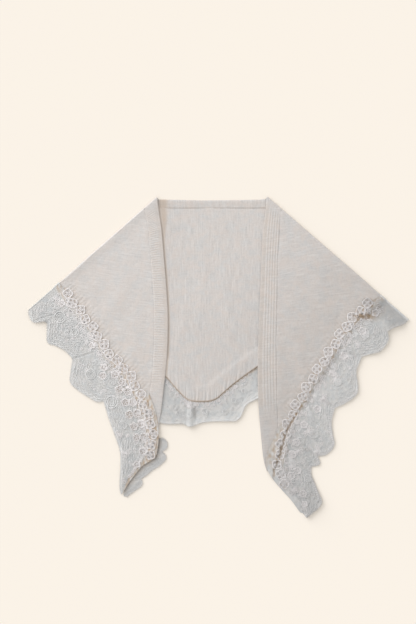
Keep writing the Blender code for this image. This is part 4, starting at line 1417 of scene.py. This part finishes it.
def back_lace_shell():
    """Lace between the fronts, drawn station by station along the hem."""
    tuck_along, tuck_across = smooth(TUCK_STATIONS), smooth(TUCK_PROFILE)
    ripple, small = waves(41, 7, 30, 70), waves(43, 8, 9, 20)
    columns = [i * 0.5 for i in range(14)] + [7.0 + i * 0.05 for i in range(280)]
    columns += [21.0 + i * 0.5 for i in range(13)]
    shares = [i / 16 for i in range(16)] + [1 + i / 34 for i in range(35)]
    points, notes = [], []
    for column in columns:
        hem, edge = back_hem(column), back_edge(column)
        inner = hem + (hem - edge).normalized() * LACE_LAP
        width = (edge - hem).length
        pinch = tuck_along(column) if 11.4 < column < 13.4 else 0.0
        line, marks = [], []
        for share in shares:
            p = inner.lerp(hem, share) if share <= 1 else hem.lerp(edge, share - 1)
            past = max(0.0, share - 1)
            height = LACE_THICK * 0.8 + TUCK_HEIGHT * pinch * tuck_across(share)
            shown = 7.5 < column < 20.5
            height += 0.55 * past * (ripple(*p) + 0.8) * shown + 0.2 * small(*p) * (past > 0)
            height += BACK_CURL * ramp(past, 0.35, 1.0) * shown
            # A painted tan shadow along the hem, where the knit hem stands over the lace, and painted
            # shade in a hollow beside the tuck
            reach = 3.0 + 2.5 * ramp(column, 16.5, 18.5)
            near_hem = math.exp(-((past * width / reach) ** 2)) if share >= 1 else 1.0
            hollow = math.exp(-(((column - 13.25) / 0.28) ** 2)) * ramp(past, 0.1, 0.3)
            hollow *= 1 - ramp(past, 0.55, 0.85)
            tan = max(0.75 * near_hem, 0.15 * hollow)
            line.append((p.x, p.y, height))
            # Painted shade in the hollow, darker over the whole border, and paler on the tuck and
            # toward the scallops
            pale = 0.08 * pinch * past - 0.25 * hollow - 0.15
            pale += 0.12 * ramp(past, 0.72, 0.8) * (column > 13)
            marks.append((tan, pale, 0.35 + 0.3 * ramp(past, 0.9, 1.0)))
        points.append(line)
        notes.append(marks)
    points = np.array(points, float)
    full = points.copy()
    keep = open_gaps(points, back_gaps)
    return shell("back_net", points, lace_net, points, notes, keep), full, notes


back_net, back_grid, back_notes = back_lace_shell()


# %% The end turned under at the left tip
TIP_ROWS = 120
TIP_COLUMNS = 60


def left_tip_shell():
    sides = smooth([(-y, left, right) for y, left, right in TURNED_UNDER])
    ripple = waves(47, 6, 14, 40)
    top_edge = [LEFT.lace_lines(20 + i * 0.5)[0] for i in range(21)]
    points, notes = [], []
    for i in range(TIP_ROWS + 1):
        y = TURNED_UNDER[0][0] + (TURNED_UNDER[-1][0] - TURNED_UNDER[0][0]) * i / TIP_ROWS
        left, right = sides(-y)
        line, marks = [], []
        for j in range(TIP_COLUMNS + 1):
            x = left + (right - left) * j / TIP_COLUMNS
            edge = ramp(j / TIP_COLUMNS, 0.85, 1.0)
            line.append((x, y, LACE_THICK * 0.8 + 0.12 * ripple(x, y) + 0.25 * edge))
            # Painted shade over the whole tip, deeper and tan near the edge of the lace above it, where
            # that layer's shadow falls
            near = math.exp(-((distance_to(top_edge, Vector((x, y))) / 7.0) ** 2))
            marks.append((0.06 + 0.4 * near, -0.20 - 0.3 * near, 0.4 + 0.3 * edge))
        points.append(line)
        notes.append(marks)
    points = np.array(points, float)
    return shell("left_tip_net", points, lace_net, points, notes), points, notes


left_tip_net, tip_grid, tip_notes = left_tip_shell()

# %% [markdown]
# ## Threads laid on the lace
#
# What makes lace read as lace is its cord: a raised thread that outlines petals
# and leaves. Each thread here is a thin tube that is dropped onto the lace shell
# from above, so it follows every ripple. Curve objects with a bevel would also do,
# but thousands of short ones are slow, so all threads of one border are gathered
# into one mesh.

# %% Threads
# Radii in millimetres, from the cord that outlines a ring to the finest bar
RING_CORD = 1.2
LARGE_RING_CORD = 1.15
SCROLL_CORD = 1.05
INNER_CORD = 1.0
CURL_CORD = 0.95
KNOT_CORD = 0.9
PETAL_CORD = 0.85
LEAF_CORD = 0.8
LOOSE_CORD = 0.75
BARB = 0.6
EDGE_CORD = 0.55
PICOT_CORD = 0.5
BAR = 0.45
TIP_LEAF_CORD = 0.42
# A thread takes the painted tan shade of the lace under it only where the lace is more tan than this
CORDS_TAKE_TAN = 0.6
# Up to this radius a tube has four sides, above it five
FINE_THREAD = 0.9


class Threads:
    def __init__(self, grid, notes, keep_clear=()):
        rows, columns = grid.shape[:2]
        self.keep_clear = keep_clear
        self.notes = np.array(notes, float)[:-1, :-1].reshape(-1, 3)
        self.surface = BVHTree.FromPolygons(
            grid.reshape(-1, 3).tolist(), quads_of(rows, columns).tolist()
        )
        self.points, self.faces, self.grain, self.marks = [], [], [], []

    def below(self, x, y, at_edge=False):
        """The lace under a plan point: its height, its painted tan shade and its painted shade."""
        if at_edge:
            place, _, index, _ = self.surface.find_nearest(Vector((x, y, 1.5)))
        else:
            place, _, index, _ = self.surface.ray_cast(Vector((x, y, 50.0)), Vector((0, 0, -1)))
        if place is None:
            return None
        tan, pale, _ = self.notes[index]
        return place.z, max(0.0, 1.6 * (tan - CORDS_TAKE_TAN)), min(pale, 0.0)

    def drape(self, plan, radius, closed=False, lift=0.0):
        """Lay a thread along plan points, parted where there is no lace below."""
        run, runs = [], []
        for x, y in plan:
            taken = any(math.hypot(x - p.x, y - p.y) < reach for p, reach in self.keep_clear)
            found = None if taken else self.below(x, y)
            if found is None:
                runs.append(run)
                run = []
            else:
                run.append((x, y, found[0] + radius * 0.5 + lift, *found[1:]))
        runs.append(run)
        whole = closed and len(run) == len(plan)
        for run in runs:
            if len(run) > 2:
                self.lay(run, radius, whole)

    def loop(self, plan, radius, lift=0.0):
        self.drape(plan, radius, closed=True, lift=lift)

    def lay(self, run, radius, closed=False):
        """A tube along a run. A fine thread needs only four sides at this scale."""
        sides = 5 if radius > FINE_THREAD else 4
        marks = [(tan, pale, 1.0) for *_, tan, pale in run]
        run = np.array([entry[:3] for entry in run], float)
        run[:, 2] = np.maximum(run[:, 2], radius)
        count = len(run)
        if closed:
            ahead = np.roll(run, -1, axis=0) - np.roll(run, 1, axis=0)
        else:
            ahead = np.gradient(run, axis=0)
        ahead /= np.linalg.norm(ahead, axis=1, keepdims=True) + 1e-9
        across = np.stack([-ahead[:, 1], ahead[:, 0], np.zeros(count)], axis=1)
        across /= np.linalg.norm(across, axis=1, keepdims=True) + 1e-9
        width = np.full(count, radius)
        if not closed:
            width[0] = width[-1] = radius * 0.35
        angles = 2 * math.pi * np.arange(sides) / sides
        ring = (
            run[:, None, :]
            + across[:, None, :] * (np.cos(angles)[None, :, None] * width[:, None, None])
            + np.array([0, 0, 1.0]) * (np.sin(angles)[None, :, None] * width[:, None, None] * 0.85)
        )
        start = len(self.points)
        self.points.extend(ring.reshape(-1, 3).tolist())
        travelled = np.concatenate(
            [[0.0], np.cumsum(np.linalg.norm(np.diff(run, axis=0), axis=1))]
        )
        for i in range(count):
            self.grain.extend((travelled[i], k * 0.5, 0.0) for k in range(sides))
            self.marks.extend([marks[i]] * sides)
        for i in range(count if closed else count - 1):
            a, b = start + i * sides, start + (i + 1) % count * sides
            for k in range(sides):
                n = (k + 1) % sides
                self.faces.append((a + k, b + k, b + n, a + n))
        if not closed:
            self.faces.append([start + k for k in range(sides)][::-1])
            self.faces.append([start + (count - 1) * sides + k for k in range(sides)])

    def gather(self, name, finish):
        mesh = bpy.data.meshes.new(name)
        mesh.from_pydata(to_world(self.points).tolist(), [], self.faces)
        piece = show(name, mesh, finish, self.grain, self.marks)
        mesh.calc_loop_triangles()
        print(name, len(mesh.loop_triangles), "triangles")
        return piece


print("thread radii, thickest and finest:", RING_CORD, TIP_LEAF_CORD)

# %% Plan shapes
def oval(place, ahead, half_long, half_wide, count):
    across = sideways(ahead)
    return [
        tuple(place + ahead * (half_long * math.cos(2 * math.pi * i / count))
              + across * (half_wide * math.sin(2 * math.pi * i / count)))
        for i in range(count)
    ]


def lobed_ring(place, radius, swell, lobes, turn, count):
    ring = []
    for i in range(count):
        angle = 2 * math.pi * i / count
        reach = radius + swell * math.cos(lobes * (angle - turn))
        ring.append((place.x + reach * math.cos(angle), place.y + reach * math.sin(angle)))
    return ring


def scroll(place, radius, turns, start, count):
    """A spiral, from its outer end inwards."""
    points = []
    for i in range(count):
        share = i / (count - 1)
        reach = radius * (1 - 0.68 * share)
        angle = start + 2 * math.pi * turns * share
        points.append((place.x + reach * math.cos(angle), place.y + reach * math.sin(angle)))
    return points


def leaf(place, ahead, length, width, count=14):
    across = sideways(ahead)
    points = []
    for i in range(count):
        angle = 2 * math.pi * i / count
        along = 0.5 - 0.5 * math.cos(angle)
        points.append(tuple(
            place + ahead * (along * length)
            + across * (width / 2 * math.sin(angle) * (0.65 + 0.5 * (1 - along)))
        ))
    return points


print("points in a leaf:", len(leaf(Vector((0, 0)), Vector((1, 0)), 8, 4)))

# %% [markdown]
# ## Flowers, leaves and scrolls
#
# A flower is four petal loops round a knot, inside one lobed ring. Past the
# flowers, each scallop holds a scroll, a few leaves and ripples that echo its
# edge. Placing them by share of the scallop's own width and depth fits the same
# motif to large and small scallops.

# %% The flower edge
FLOWER_RADIUS = 11.6


def lay_bars(threads, place, ahead, size):
    """Fine twisted bars across a gap of the ground, as a lace maker works them."""
    across = sideways(ahead)
    for along in (-0.5, 0.0, 0.5):
        middle = place + ahead * (along * size[0] * ROUND_SHARE)
        half = across * (size[1] * ROUND_SHARE * math.sqrt(1 - along * along) + 0.4)
        threads.drape([tuple(middle + half * (s / 3)) for s in range(-3, 4)], BAR)
    half = ahead * (size[0] * ROUND_SHARE)
    threads.drape([tuple(place + half * (s / 5)) for s in range(-5, 6)], BAR)


def lay_flowers(threads, flowers, gaps, draw):
    """Ring, knot and petals of each flower, and a cord round each gap."""
    for place, _, number in flowers:
        turn = 0.4 * number
        radius = FLOWER_RADIUS + draw.uniform(-0.5, 0.5)
        outline = lobed_ring(place, radius, 1.0, PETAL_GAPS, turn, 40)
        threads.loop(outline, RING_CORD, lift=draw.uniform(-0.1, 0.15))
        threads.loop(lobed_ring(place, 3.4, 0.5, PETAL_GAPS, turn + 0.8, 18), KNOT_CORD)
        threads.loop(lobed_ring(place, 1.1, 0.2, 5, turn, 8), KNOT_CORD, lift=0.2)
        for side in range(PETAL_GAPS):
            angle = turn + math.pi * (side + 0.5) / 2 + draw.uniform(-0.12, 0.12)
            out = pointing(angle)
            threads.loop(oval(place + out * 7.6, out, 2.6, 1.4, 10), PETAL_CORD)
    for kind, place, ahead, size in gaps:
        rim = oval(place, ahead, *(s * ROUND_SHARE + 0.55 for s in size), 18)
        radius = LOOSE_CORD if kind == "petal" else KNOT_CORD
        threads.loop(rim, radius, lift=draw.uniform(-0.15, 0.1))
        if kind == "petal":
            half = ahead * (size[0] * ROUND_SHARE)
            threads.drape([tuple(place + half * (s / 4)) for s in range(-4, 5)], BARB)
        else:
            lay_bars(threads, place, ahead, size)


print("a flower is", 2 * FLOWER_RADIUS, "mm across")

# %% Rings and sprays
SPRAYS = 250


def lay_sprays(threads, front, draw):
    """Rings and loose leaf loops on the outer side of the flowers."""
    for place, radius in outer_rings(front):
        turn = draw.uniform(0, 2 * math.pi)
        threads.loop(lobed_ring(place, radius, 1.1, 5, turn, 36), RING_CORD, lift=0.2)
        threads.loop(lobed_ring(place, 1.6, 0.2, 5, turn, 10), INNER_CORD, lift=0.2)
        for petal in range(5):
            angle = turn + 2 * math.pi * petal / 5
            out = pointing(angle)
            threads.loop(oval(place + out * radius * 0.6, out, 1.9, 1.2, 9), PETAL_CORD)
    for number in range(SPRAYS):
        row = draw.uniform(1.3, front.lace_end - 2.0)
        _, hem, edge = front.lace_lines(row)
        outward = (edge - hem).normalized()
        lean = sideways(outward) * draw.uniform(-0.9, 0.9)
        reach = 26.0 if number % 3 else 0.8 * (edge - hem).length
        place = hem + outward * draw.uniform(4, reach)
        length = draw.uniform(5, 9)
        way = (outward + lean).normalized()
        threads.loop(leaf(place, way, length, 4.6, 12), LOOSE_CORD)


# Leaf sprays that stand out: border, x, y, radius, the way they face in degrees
LEAF_SPRAYS = [
    ("right", 365, 62, 11, -50), ("right", 346, 34, 10, 20), ("right", 292, -52, 15, -20),
    ("right", 318, 4, 10, -60), ("right", 262, -100, 12, -30), ("right", 225, -182, 15, -35),
    ("right", 246, -232, 11, -40), ("right", 200, -232, 12, -70), ("right", 182, -270, 14, -60),
    ("right", 188, -330, 12, -70), ("right", 166, -300, 11, -100), ("right", 214, -372, 9, 0),
    ("left", -232, -236, 11, -80), ("left", -246, -190, 10, -120),
]


def lay_leaf_spray(threads, place, radius, facing, draw):
    """A fan of leaf loops round a knot."""
    threads.loop(lobed_ring(place, 1.5, 0.2, 5, 0.0, 10), KNOT_CORD, lift=0.2)
    for number in range(7):
        angle = math.radians(facing + 38 * (number - 3) + draw.uniform(-7, 7))
        out = pointing(angle)
        length = radius * draw.uniform(0.75, 1.0)
        leaf_loop = leaf(place + out * 2.0, out, length, 0.40 * radius, 14)
        threads.loop(leaf_loop, LEAF_CORD, lift=0.2)


print("sprays on a border, and placed leaf sprays:", SPRAYS, len(LEAF_SPRAYS))

# %% Comb strokes and the stem
def lay_comb(threads, front, first, last, step, draw):
    """Short straight strokes across the scallop's edge, like the teeth of a comb."""
    line = edge_line(front, first, last, 400)
    for place, ahead in even_steps(line, step):
        out = sideways(ahead)
        z, tan, pale = threads.below(place.x, place.y, at_edge=True)
        reach = draw.uniform(5.0, 9.0)
        stroke = [place + out * s for s in (-reach, -0.6 * reach, -0.3 * reach, 0.0, 1.3)]
        threads.lay([(*p, z + 0.7, tan, pale) for p in stroke], LEAF_CORD)


def lay_vine(threads, front, first, last, share, swing, step, radius):
    """A wavy stem along the border, at a share between flower edge and hem."""
    plan, row, travelled, before = [], first, 0.0, None
    while row <= last:
        inner, hem, _ = front.lace_lines(row)
        outward = (hem - inner).normalized()
        p = inner.lerp(hem, share)
        travelled += (p - before).length if before else 0.0
        before = p
        plan.append(tuple(p + outward * (swing * math.sin(2 * math.pi * travelled / step))))
        row += 0.06
    threads.drape(plan, radius)


print("the stem runs to rows", LEFT.knit_end + 3, "and", RIGHT.knit_end + 3)

# %% Scallops
def broken(plan, draw, longest):
    """Part a long thread into uneven stretches, with a small break between them."""
    start, parts = 0, []
    while start < len(plan) - 3:
        length = int(draw.uniform(0.4, 1.0) * longest)
        parts.append(plan[start:start + length])
        start += length + draw.randint(1, 3)
    return parts


def scallop_place(front, first, last, along, deep):
    _, hem, edge = front.lace_lines(first + (last - first) * (along + 1) / 2)
    return hem.lerp(edge, deep)


def lay_scallop(threads, front, first, last, draw):
    """A scroll in the middle, ripples that echo the edge, leaves and two curls."""
    def at(along, deep):
        return scallop_place(front, first, last, along, deep)

    width = (at(-1, 0.6) - at(1, 0.6)).length
    middle = at(0, 0.40)
    outward = (at(0, 0.9) - at(0, 0.1)).normalized()
    radius = min(13.0, width * 0.16)
    start = math.atan2(outward.y, outward.x)
    threads.drape(scroll(middle, radius, 1.9, start + draw.uniform(-0.5, 0.5), 60), SCROLL_CORD)
    for ring in range(7):
        reach = 0.97 - 0.078 * ring + draw.uniform(-0.012, 0.012)
        bend_in = 0.10 + 0.07 * ring
        end = 0.93 - 0.05 * ring
        plan, count = [], int(width * 0.7) + 20
        for i in range(count + 1):
            along = end * (2 * i / count - 1)
            deep = reach * (1 - bend_in * along * along)
            deep += 0.016 * math.sin(2 * math.pi * along * width / 17 + 2.3 * ring)
            place = at(along, deep)
            if (place - middle).length > radius + 2.5:
                plan.append(tuple(place))
        for part in broken(plan, draw, 34):
            if (Vector(part[0]) - Vector(part[-1])).length < 60:
                threads.drape(part, draw.uniform(0.65, 0.95) if ring else INNER_CORD)
    ribs = max(4, int(width / 9))
    for i in range(ribs + 1):
        along = 0.8 * (2 * i / ribs - 1)
        root, tip = at(along * 0.45, 0.10), at(along * 0.8, 0.50 - 0.06 * abs(along))
        if (root.lerp(tip, 0.6) - middle).length < radius + 3:
            continue
        ahead = (tip - root).normalized()
        length = (tip - root).length
        threads.loop(leaf(root.lerp(tip, 0.15), ahead, length * 0.75, 5.4), LEAF_CORD)
        threads.drape([tuple(root.lerp(tip, s / 9)) for s in range(10)], BARB)
    for side in (-1, 1):
        curl = at(0.52 * side, 0.30)
        plan = scroll(curl, radius * 0.6, 1.5 * side, start + side * 0.9, 30)
        threads.drape(plan, CURL_CORD)


def lay_feathers(threads, front, first, last, draw):
    """Short curved strokes between the ripples, like feather barbs."""
    rows = int((last - first) * 7)
    for i in range(rows + 1):
        row = first + (last - first) * i / rows
        _, hem, edge = front.lace_lines(row)
        outward = (edge - hem).normalized()
        side = sideways(outward)
        for deep in (0.62, 0.76, 0.88):
            place = hem.lerp(edge, deep + draw.uniform(-0.015, 0.015))
            lean = side * draw.uniform(0.5, 1.6)
            length = draw.uniform(3.2, 5.6)
            plan = [
                tuple(place + outward * (length * s / 4) + lean * (s / 4) ** 2) for s in range(5)
            ]
            threads.drape(plan, BARB)


print("a thread of 20 points parts into", len(broken(list(range(20)), random.Random(1), 8)))

# %% Edges with picots
def lay_edge(threads, line, radius, picot_step, outward_side):
    """A cord along an edge, with tiny loops standing out of it."""
    run = []
    for p in line:
        z, tan, pale = threads.below(p.x, p.y, at_edge=True)
        run.append((p.x, p.y, z + radius * 0.3, tan, pale))
    threads.lay(run, radius)
    for place, ahead in even_steps(line, picot_step):
        out = sideways(ahead) * outward_side
        z, tan, pale = threads.below(place.x, place.y, at_edge=True)
        picot = oval(place + out * 1.2, out, 1.6, 1.3, 8)
        threads.lay([(x, y, z + 0.2, tan, pale) for x, y in picot], PICOT_CORD, closed=True)


def edge_line(front, first, last, count):
    return [front.edge(first + (last - first) * i / count) for i in range(count + 1)]


print("scallop edges:", *[round(line_length(edge_line(f, 0, f.lace_end, 200))) for f in (LEFT, RIGHT)])

# %% The front borders
LEFT_SCALLOPS = [(0.7, 4), (4, 10), (10, 16), (16, 20.5), (20.5, 25.5)]
RIGHT_SCALLOPS = [(3, 7), (7, 12), (12, 17), (17, 20), (20, 24.5), (24.5, 27)]
# Large rings that stand out: border, x, y, radius
LARGE_RINGS = [
    ("left", -395, 102, 14), ("left", -265, -110, 15), ("left", -372, 62, 10),
    ("left", -318, -40, 12), ("left", -238, -168, 10), ("right", 368, 58, 9),
    ("right", 300, -60, 8), ("right", 240, -190, 10), ("right", 225, -300, 9),
    ("right", 330, 10, 8), ("right", 222, -340, 8),
]


def dress_border(front, grid, notes, flowers, gaps, scallops, seed, picot_side):
    draw = random.Random(seed)
    rings = outer_rings(front)
    bright, soft = Threads(grid, notes), Threads(grid, notes, rings)
    lay_flowers(bright, flowers, gaps, draw)
    lay_sprays(bright, front, draw)
    lay_vine(bright, front, 0.4, front.knit_end + 3.0, 0.99, 1.6, 13.0, EDGE_CORD)
    for first, last in scallops:
        lay_scallop(soft, front, first, last, draw)
        lay_feathers(soft, front, first, last, draw)
    for name, x, y, radius in LARGE_RINGS:
        if name == front.name:
            for share in (1.0, 0.66, 0.36):
                turn = draw.uniform(0, 6)
                ring = lobed_ring(Vector((x, y)), radius * share, 0.4, 3, turn, 40)
                soft.loop(ring, LARGE_RING_CORD * (0.6 + 0.4 * share), lift=0.2)
    for name, x, y, radius, facing in LEAF_SPRAYS:
        if name == front.name:
            lay_leaf_spray(bright, Vector((x, y)), radius, facing, draw)
    if front is RIGHT:
        lay_comb(bright, front, 9.5, 24.0, 5.2, draw)
    lay_edge(soft, edge_line(front, 0.3, front.lace_end, 560), EDGE_CORD, 4.2, picot_side)
    return (
        bright.gather(front.name + "_flower_cords", bright_cord),
        soft.gather(front.name + "_scroll_cords", grey_cord),
    )


left_flower_cords, left_scroll_cords = dress_border(
    LEFT, left_grid, left_notes, left_flowers, left_gaps, LEFT_SCALLOPS, 51, -1
)
right_flower_cords, right_scroll_cords = dress_border(
    RIGHT, right_grid, right_notes, right_flowers, right_gaps, RIGHT_SCALLOPS, 61, 1
)


# %% The back border
# Scrolls: station, share from hem to scallop, radius
BACK_SCROLLS = [
    (9.6, 0.5, 8.0), (14.5, 0.5, 9.0), (16.4, 0.62, 8.0), (17.9, 0.45, 9.0), (19.2, 0.5, 7.0),
]


def back_way(station):
    """Hem, scallop edge, and the way out from one to the other."""
    hem, edge = back_hem(station), back_edge(station)
    return hem, edge, (edge - hem).normalized()


def dress_back():
    draw = random.Random(71)
    bright, soft = Threads(back_grid, back_notes), Threads(back_grid, back_notes)
    for _, place, ahead, size in back_gaps:
        rim = oval(place, ahead, *(s * ROUND_SHARE + 0.5 for s in size), 18)
        bright.loop(rim, KNOT_CORD)
        lay_bars(bright, place, ahead, size)
    for station in [7.8 + 0.42 * i for i in range(30)]:
        hem, _, outward = back_way(station)
        bright.loop(leaf(hem + outward * 3.4, sideways(outward), 7.0, 3.8, 10), LOOSE_CORD)
    for ring in range(3):
        plan = []
        for i in range(200):
            station = 7.6 + 12.8 * i / 199
            deep = 0.92 - 0.16 * ring + 0.03 * math.sin(2 * math.pi * i / 14 + 2 * ring)
            plan.append(tuple(back_hem(station).lerp(back_edge(station), deep)))
        for part in broken(plan, draw, 16):
            soft.drape(part, EDGE_CORD)
    for _ in range(90):
        station = draw.uniform(8.0, 20.3)
        hem, _, outward = back_way(station)
        lean = sideways(outward) * draw.uniform(-1.2, 1.2)
        place = hem + outward * draw.uniform(4.5, 17)
        way = (outward + lean).normalized()
        bright.loop(leaf(place, way, draw.uniform(4, 7), 3.4, 10), BARB)
    for station, deep, radius in BACK_SCROLLS:
        place = back_hem(station).lerp(back_edge(station), deep)
        soft.drape(scroll(place, radius, 1.8, draw.uniform(0, 6), 50), INNER_CORD)
    for _ in range(26):
        station = draw.uniform(8.0, 20.0)
        hem, edge, outward = back_way(station)
        root = hem.lerp(edge, draw.uniform(0.2, 0.7))
        soft.loop(leaf(root, outward, 8.0, 4.6), LOOSE_CORD)
    line = [back_edge(7.0 + 14.0 * i / 300) for i in range(301)]
    lay_edge(soft, line, PICOT_CORD, 4.2, -1)
    return (
        bright.gather("back_flower_cords", bright_cord),
        soft.gather("back_scroll_cords", grey_cord),
    )


back_flower_cords, back_scroll_cords = dress_back()


# %% The tip
def dress_tip():
    draw = random.Random(81)
    soft = Threads(tip_grid, tip_notes)
    line = [Vector(q[:2]) for q in tip_grid[:, -1].tolist()]
    lay_edge(soft, line, PICOT_CORD, 4.0, 1)
    for inset in (4.0, 8.5, 13.0):
        soft.drape([(q.x - inset, q.y) for q in line], PICOT_CORD)
    for _ in range(30):
        q = line[int(draw.uniform(8, 112))]
        turn = draw.uniform(-0.6, 0.6)
        root = Vector((q.x - draw.uniform(6, 30), q.y))
        soft.loop(leaf(root, pointing(turn), 7, 3.6), TIP_LEAF_CORD)
    return soft.gather("left_tip_cords", grey_cord)


left_tip_cords = dress_tip()

# %% [markdown]
# ## Table, light and camera
#
# The scarf lies on a smooth cream surface. One broad, low light from the upper
# left gives the ribs and cords their soft shading and leaves a faint warm shadow
# at the right, and an even sky fills the rest. The camera looks straight down.

# %% Table
TABLE_SIZE = 8.0
TABLE_DROP = 0.0002
CREAM = (0.935, 0.870, 0.787, 1.0)
table = Finish("cream_table", 0.9, 0.0)
table.shader.inputs["Base Color"].default_value = CREAM
table.shader.inputs["Specular IOR Level"].default_value = 0.0
bpy.ops.mesh.primitive_plane_add(size=TABLE_SIZE, location=(0, 0, -TABLE_DROP))
table_top = bpy.context.object
table_top.name = "table_top"
table_top.data.materials.append(table.material)
print("table top at", -TABLE_DROP, "m")

# %% Light
SKY_STRENGTH = 0.765
WINDOW_STRENGTH = 2.5
WINDOW_WIDTH = math.radians(50)
KEY_FROM = Vector((-0.62, 0.60, 0.31))
world = bpy.data.worlds.new("soft_room")
bpy.context.scene.world = world
world.use_nodes = True
sky = world.node_tree.nodes["Background"]
sky.inputs["Color"].default_value = (1.0, 0.992, 0.978, 1.0)
sky.inputs["Strength"].default_value = SKY_STRENGTH

key_data = bpy.data.lights.new("window", "SUN")
key_data.energy = WINDOW_STRENGTH
key_data.angle = WINDOW_WIDTH
key_data.color = (0.985, 0.99, 1.0)
key = bpy.data.objects.new("window", key_data)
bpy.context.scene.collection.objects.link(key)
key.rotation_euler = KEY_FROM.to_track_quat("Z", "Y").to_euler()
bpy.context.scene.view_settings.view_transform = "Standard"
print("window light", KEY_FROM[:], "at strength", WINDOW_STRENGTH)

# %% Camera
# Millimetres of film, metres up, and metres that the picture's long side takes in
FILM = 36.0
CAMERA_HEIGHT = 4.0
FIELD = 1.56
LOOKS_AT = (-25, 115)
lens_data = bpy.data.cameras.new("overhead")
lens_data.sensor_width = FILM
lens_data.lens = FILM * CAMERA_HEIGHT / FIELD
lens_data.clip_end = 20.0
camera = bpy.data.objects.new("overhead", lens_data)
bpy.context.scene.collection.objects.link(camera)
camera.location = (
    (LOOKS_AT[0] - BOX_MIDDLE[0]) * MM, (LOOKS_AT[1] - BOX_MIDDLE[1]) * MM, CAMERA_HEIGHT,
)
bpy.context.scene.camera = camera
print("lens:", round(lens_data.lens, 1), "mm")

# %% [markdown]
# ## Putting each piece on the body
#
# The scarf has no moving parts, so every piece rides on the one body. Each cloth
# stands for a solid of the model, which is hidden in its place. The table also gives
# each cloth's finish slot, how it lies, its cut size and area, and what lies under
# it, but nothing here reads them.

# %% Pieces, their solids and their cuts
CLOTHS = [
    (back_knit, "back_panel", "ivory_knit", "laid", (0.80, 0.48), 0.236, table_top, []),
    (left_front_knit, "left_front", "ivory_knit", "folded", (0.30, 0.45), 0.065, back_knit, []),
    (right_front_knit, "right_front", "ivory_knit", "folded", (0.30, 0.50), 0.075, back_knit, []),
    (neck_band, "back_neck_band", "ivory_rib", "laid", (0.31, 0.0235), 0.0065, table_top, []),
    (left_band, "left_front_band", "ivory_rib", "folded", (0.034, 0.60), 0.019, back_knit, []),
    (right_band, "right_front_band", "ivory_rib", "folded", (0.045, 0.70), 0.0265, back_knit, []),
    (back_net, "back_lace", "white_lace", "laid", (0.105, 1.15), 0.104, table_top,
     [back_flower_cords, back_scroll_cords]),
    (left_net, "left_front_lace", "white_lace", "folded", (0.125, 0.62), 0.061, left_front_knit,
     [left_flower_cords, left_scroll_cords]),
    (right_net, "right_front_lace", "white_lace", "folded", (0.125, 0.70), 0.068,
     right_front_knit, [right_flower_cords, right_scroll_cords]),
    (left_tip_net, "left_tip_lace", "white_lace", "laid", (0.10, 0.15), 0.0106, table_top,
     [left_tip_cords]),
]
for piece, solid, finish_slot, held, cut, area, under, on_it in CLOTHS:
    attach(piece, "root")
    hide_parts(solid)
    for extra in on_it:
        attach(extra, "root")
print("cloths:", len(CLOTHS))
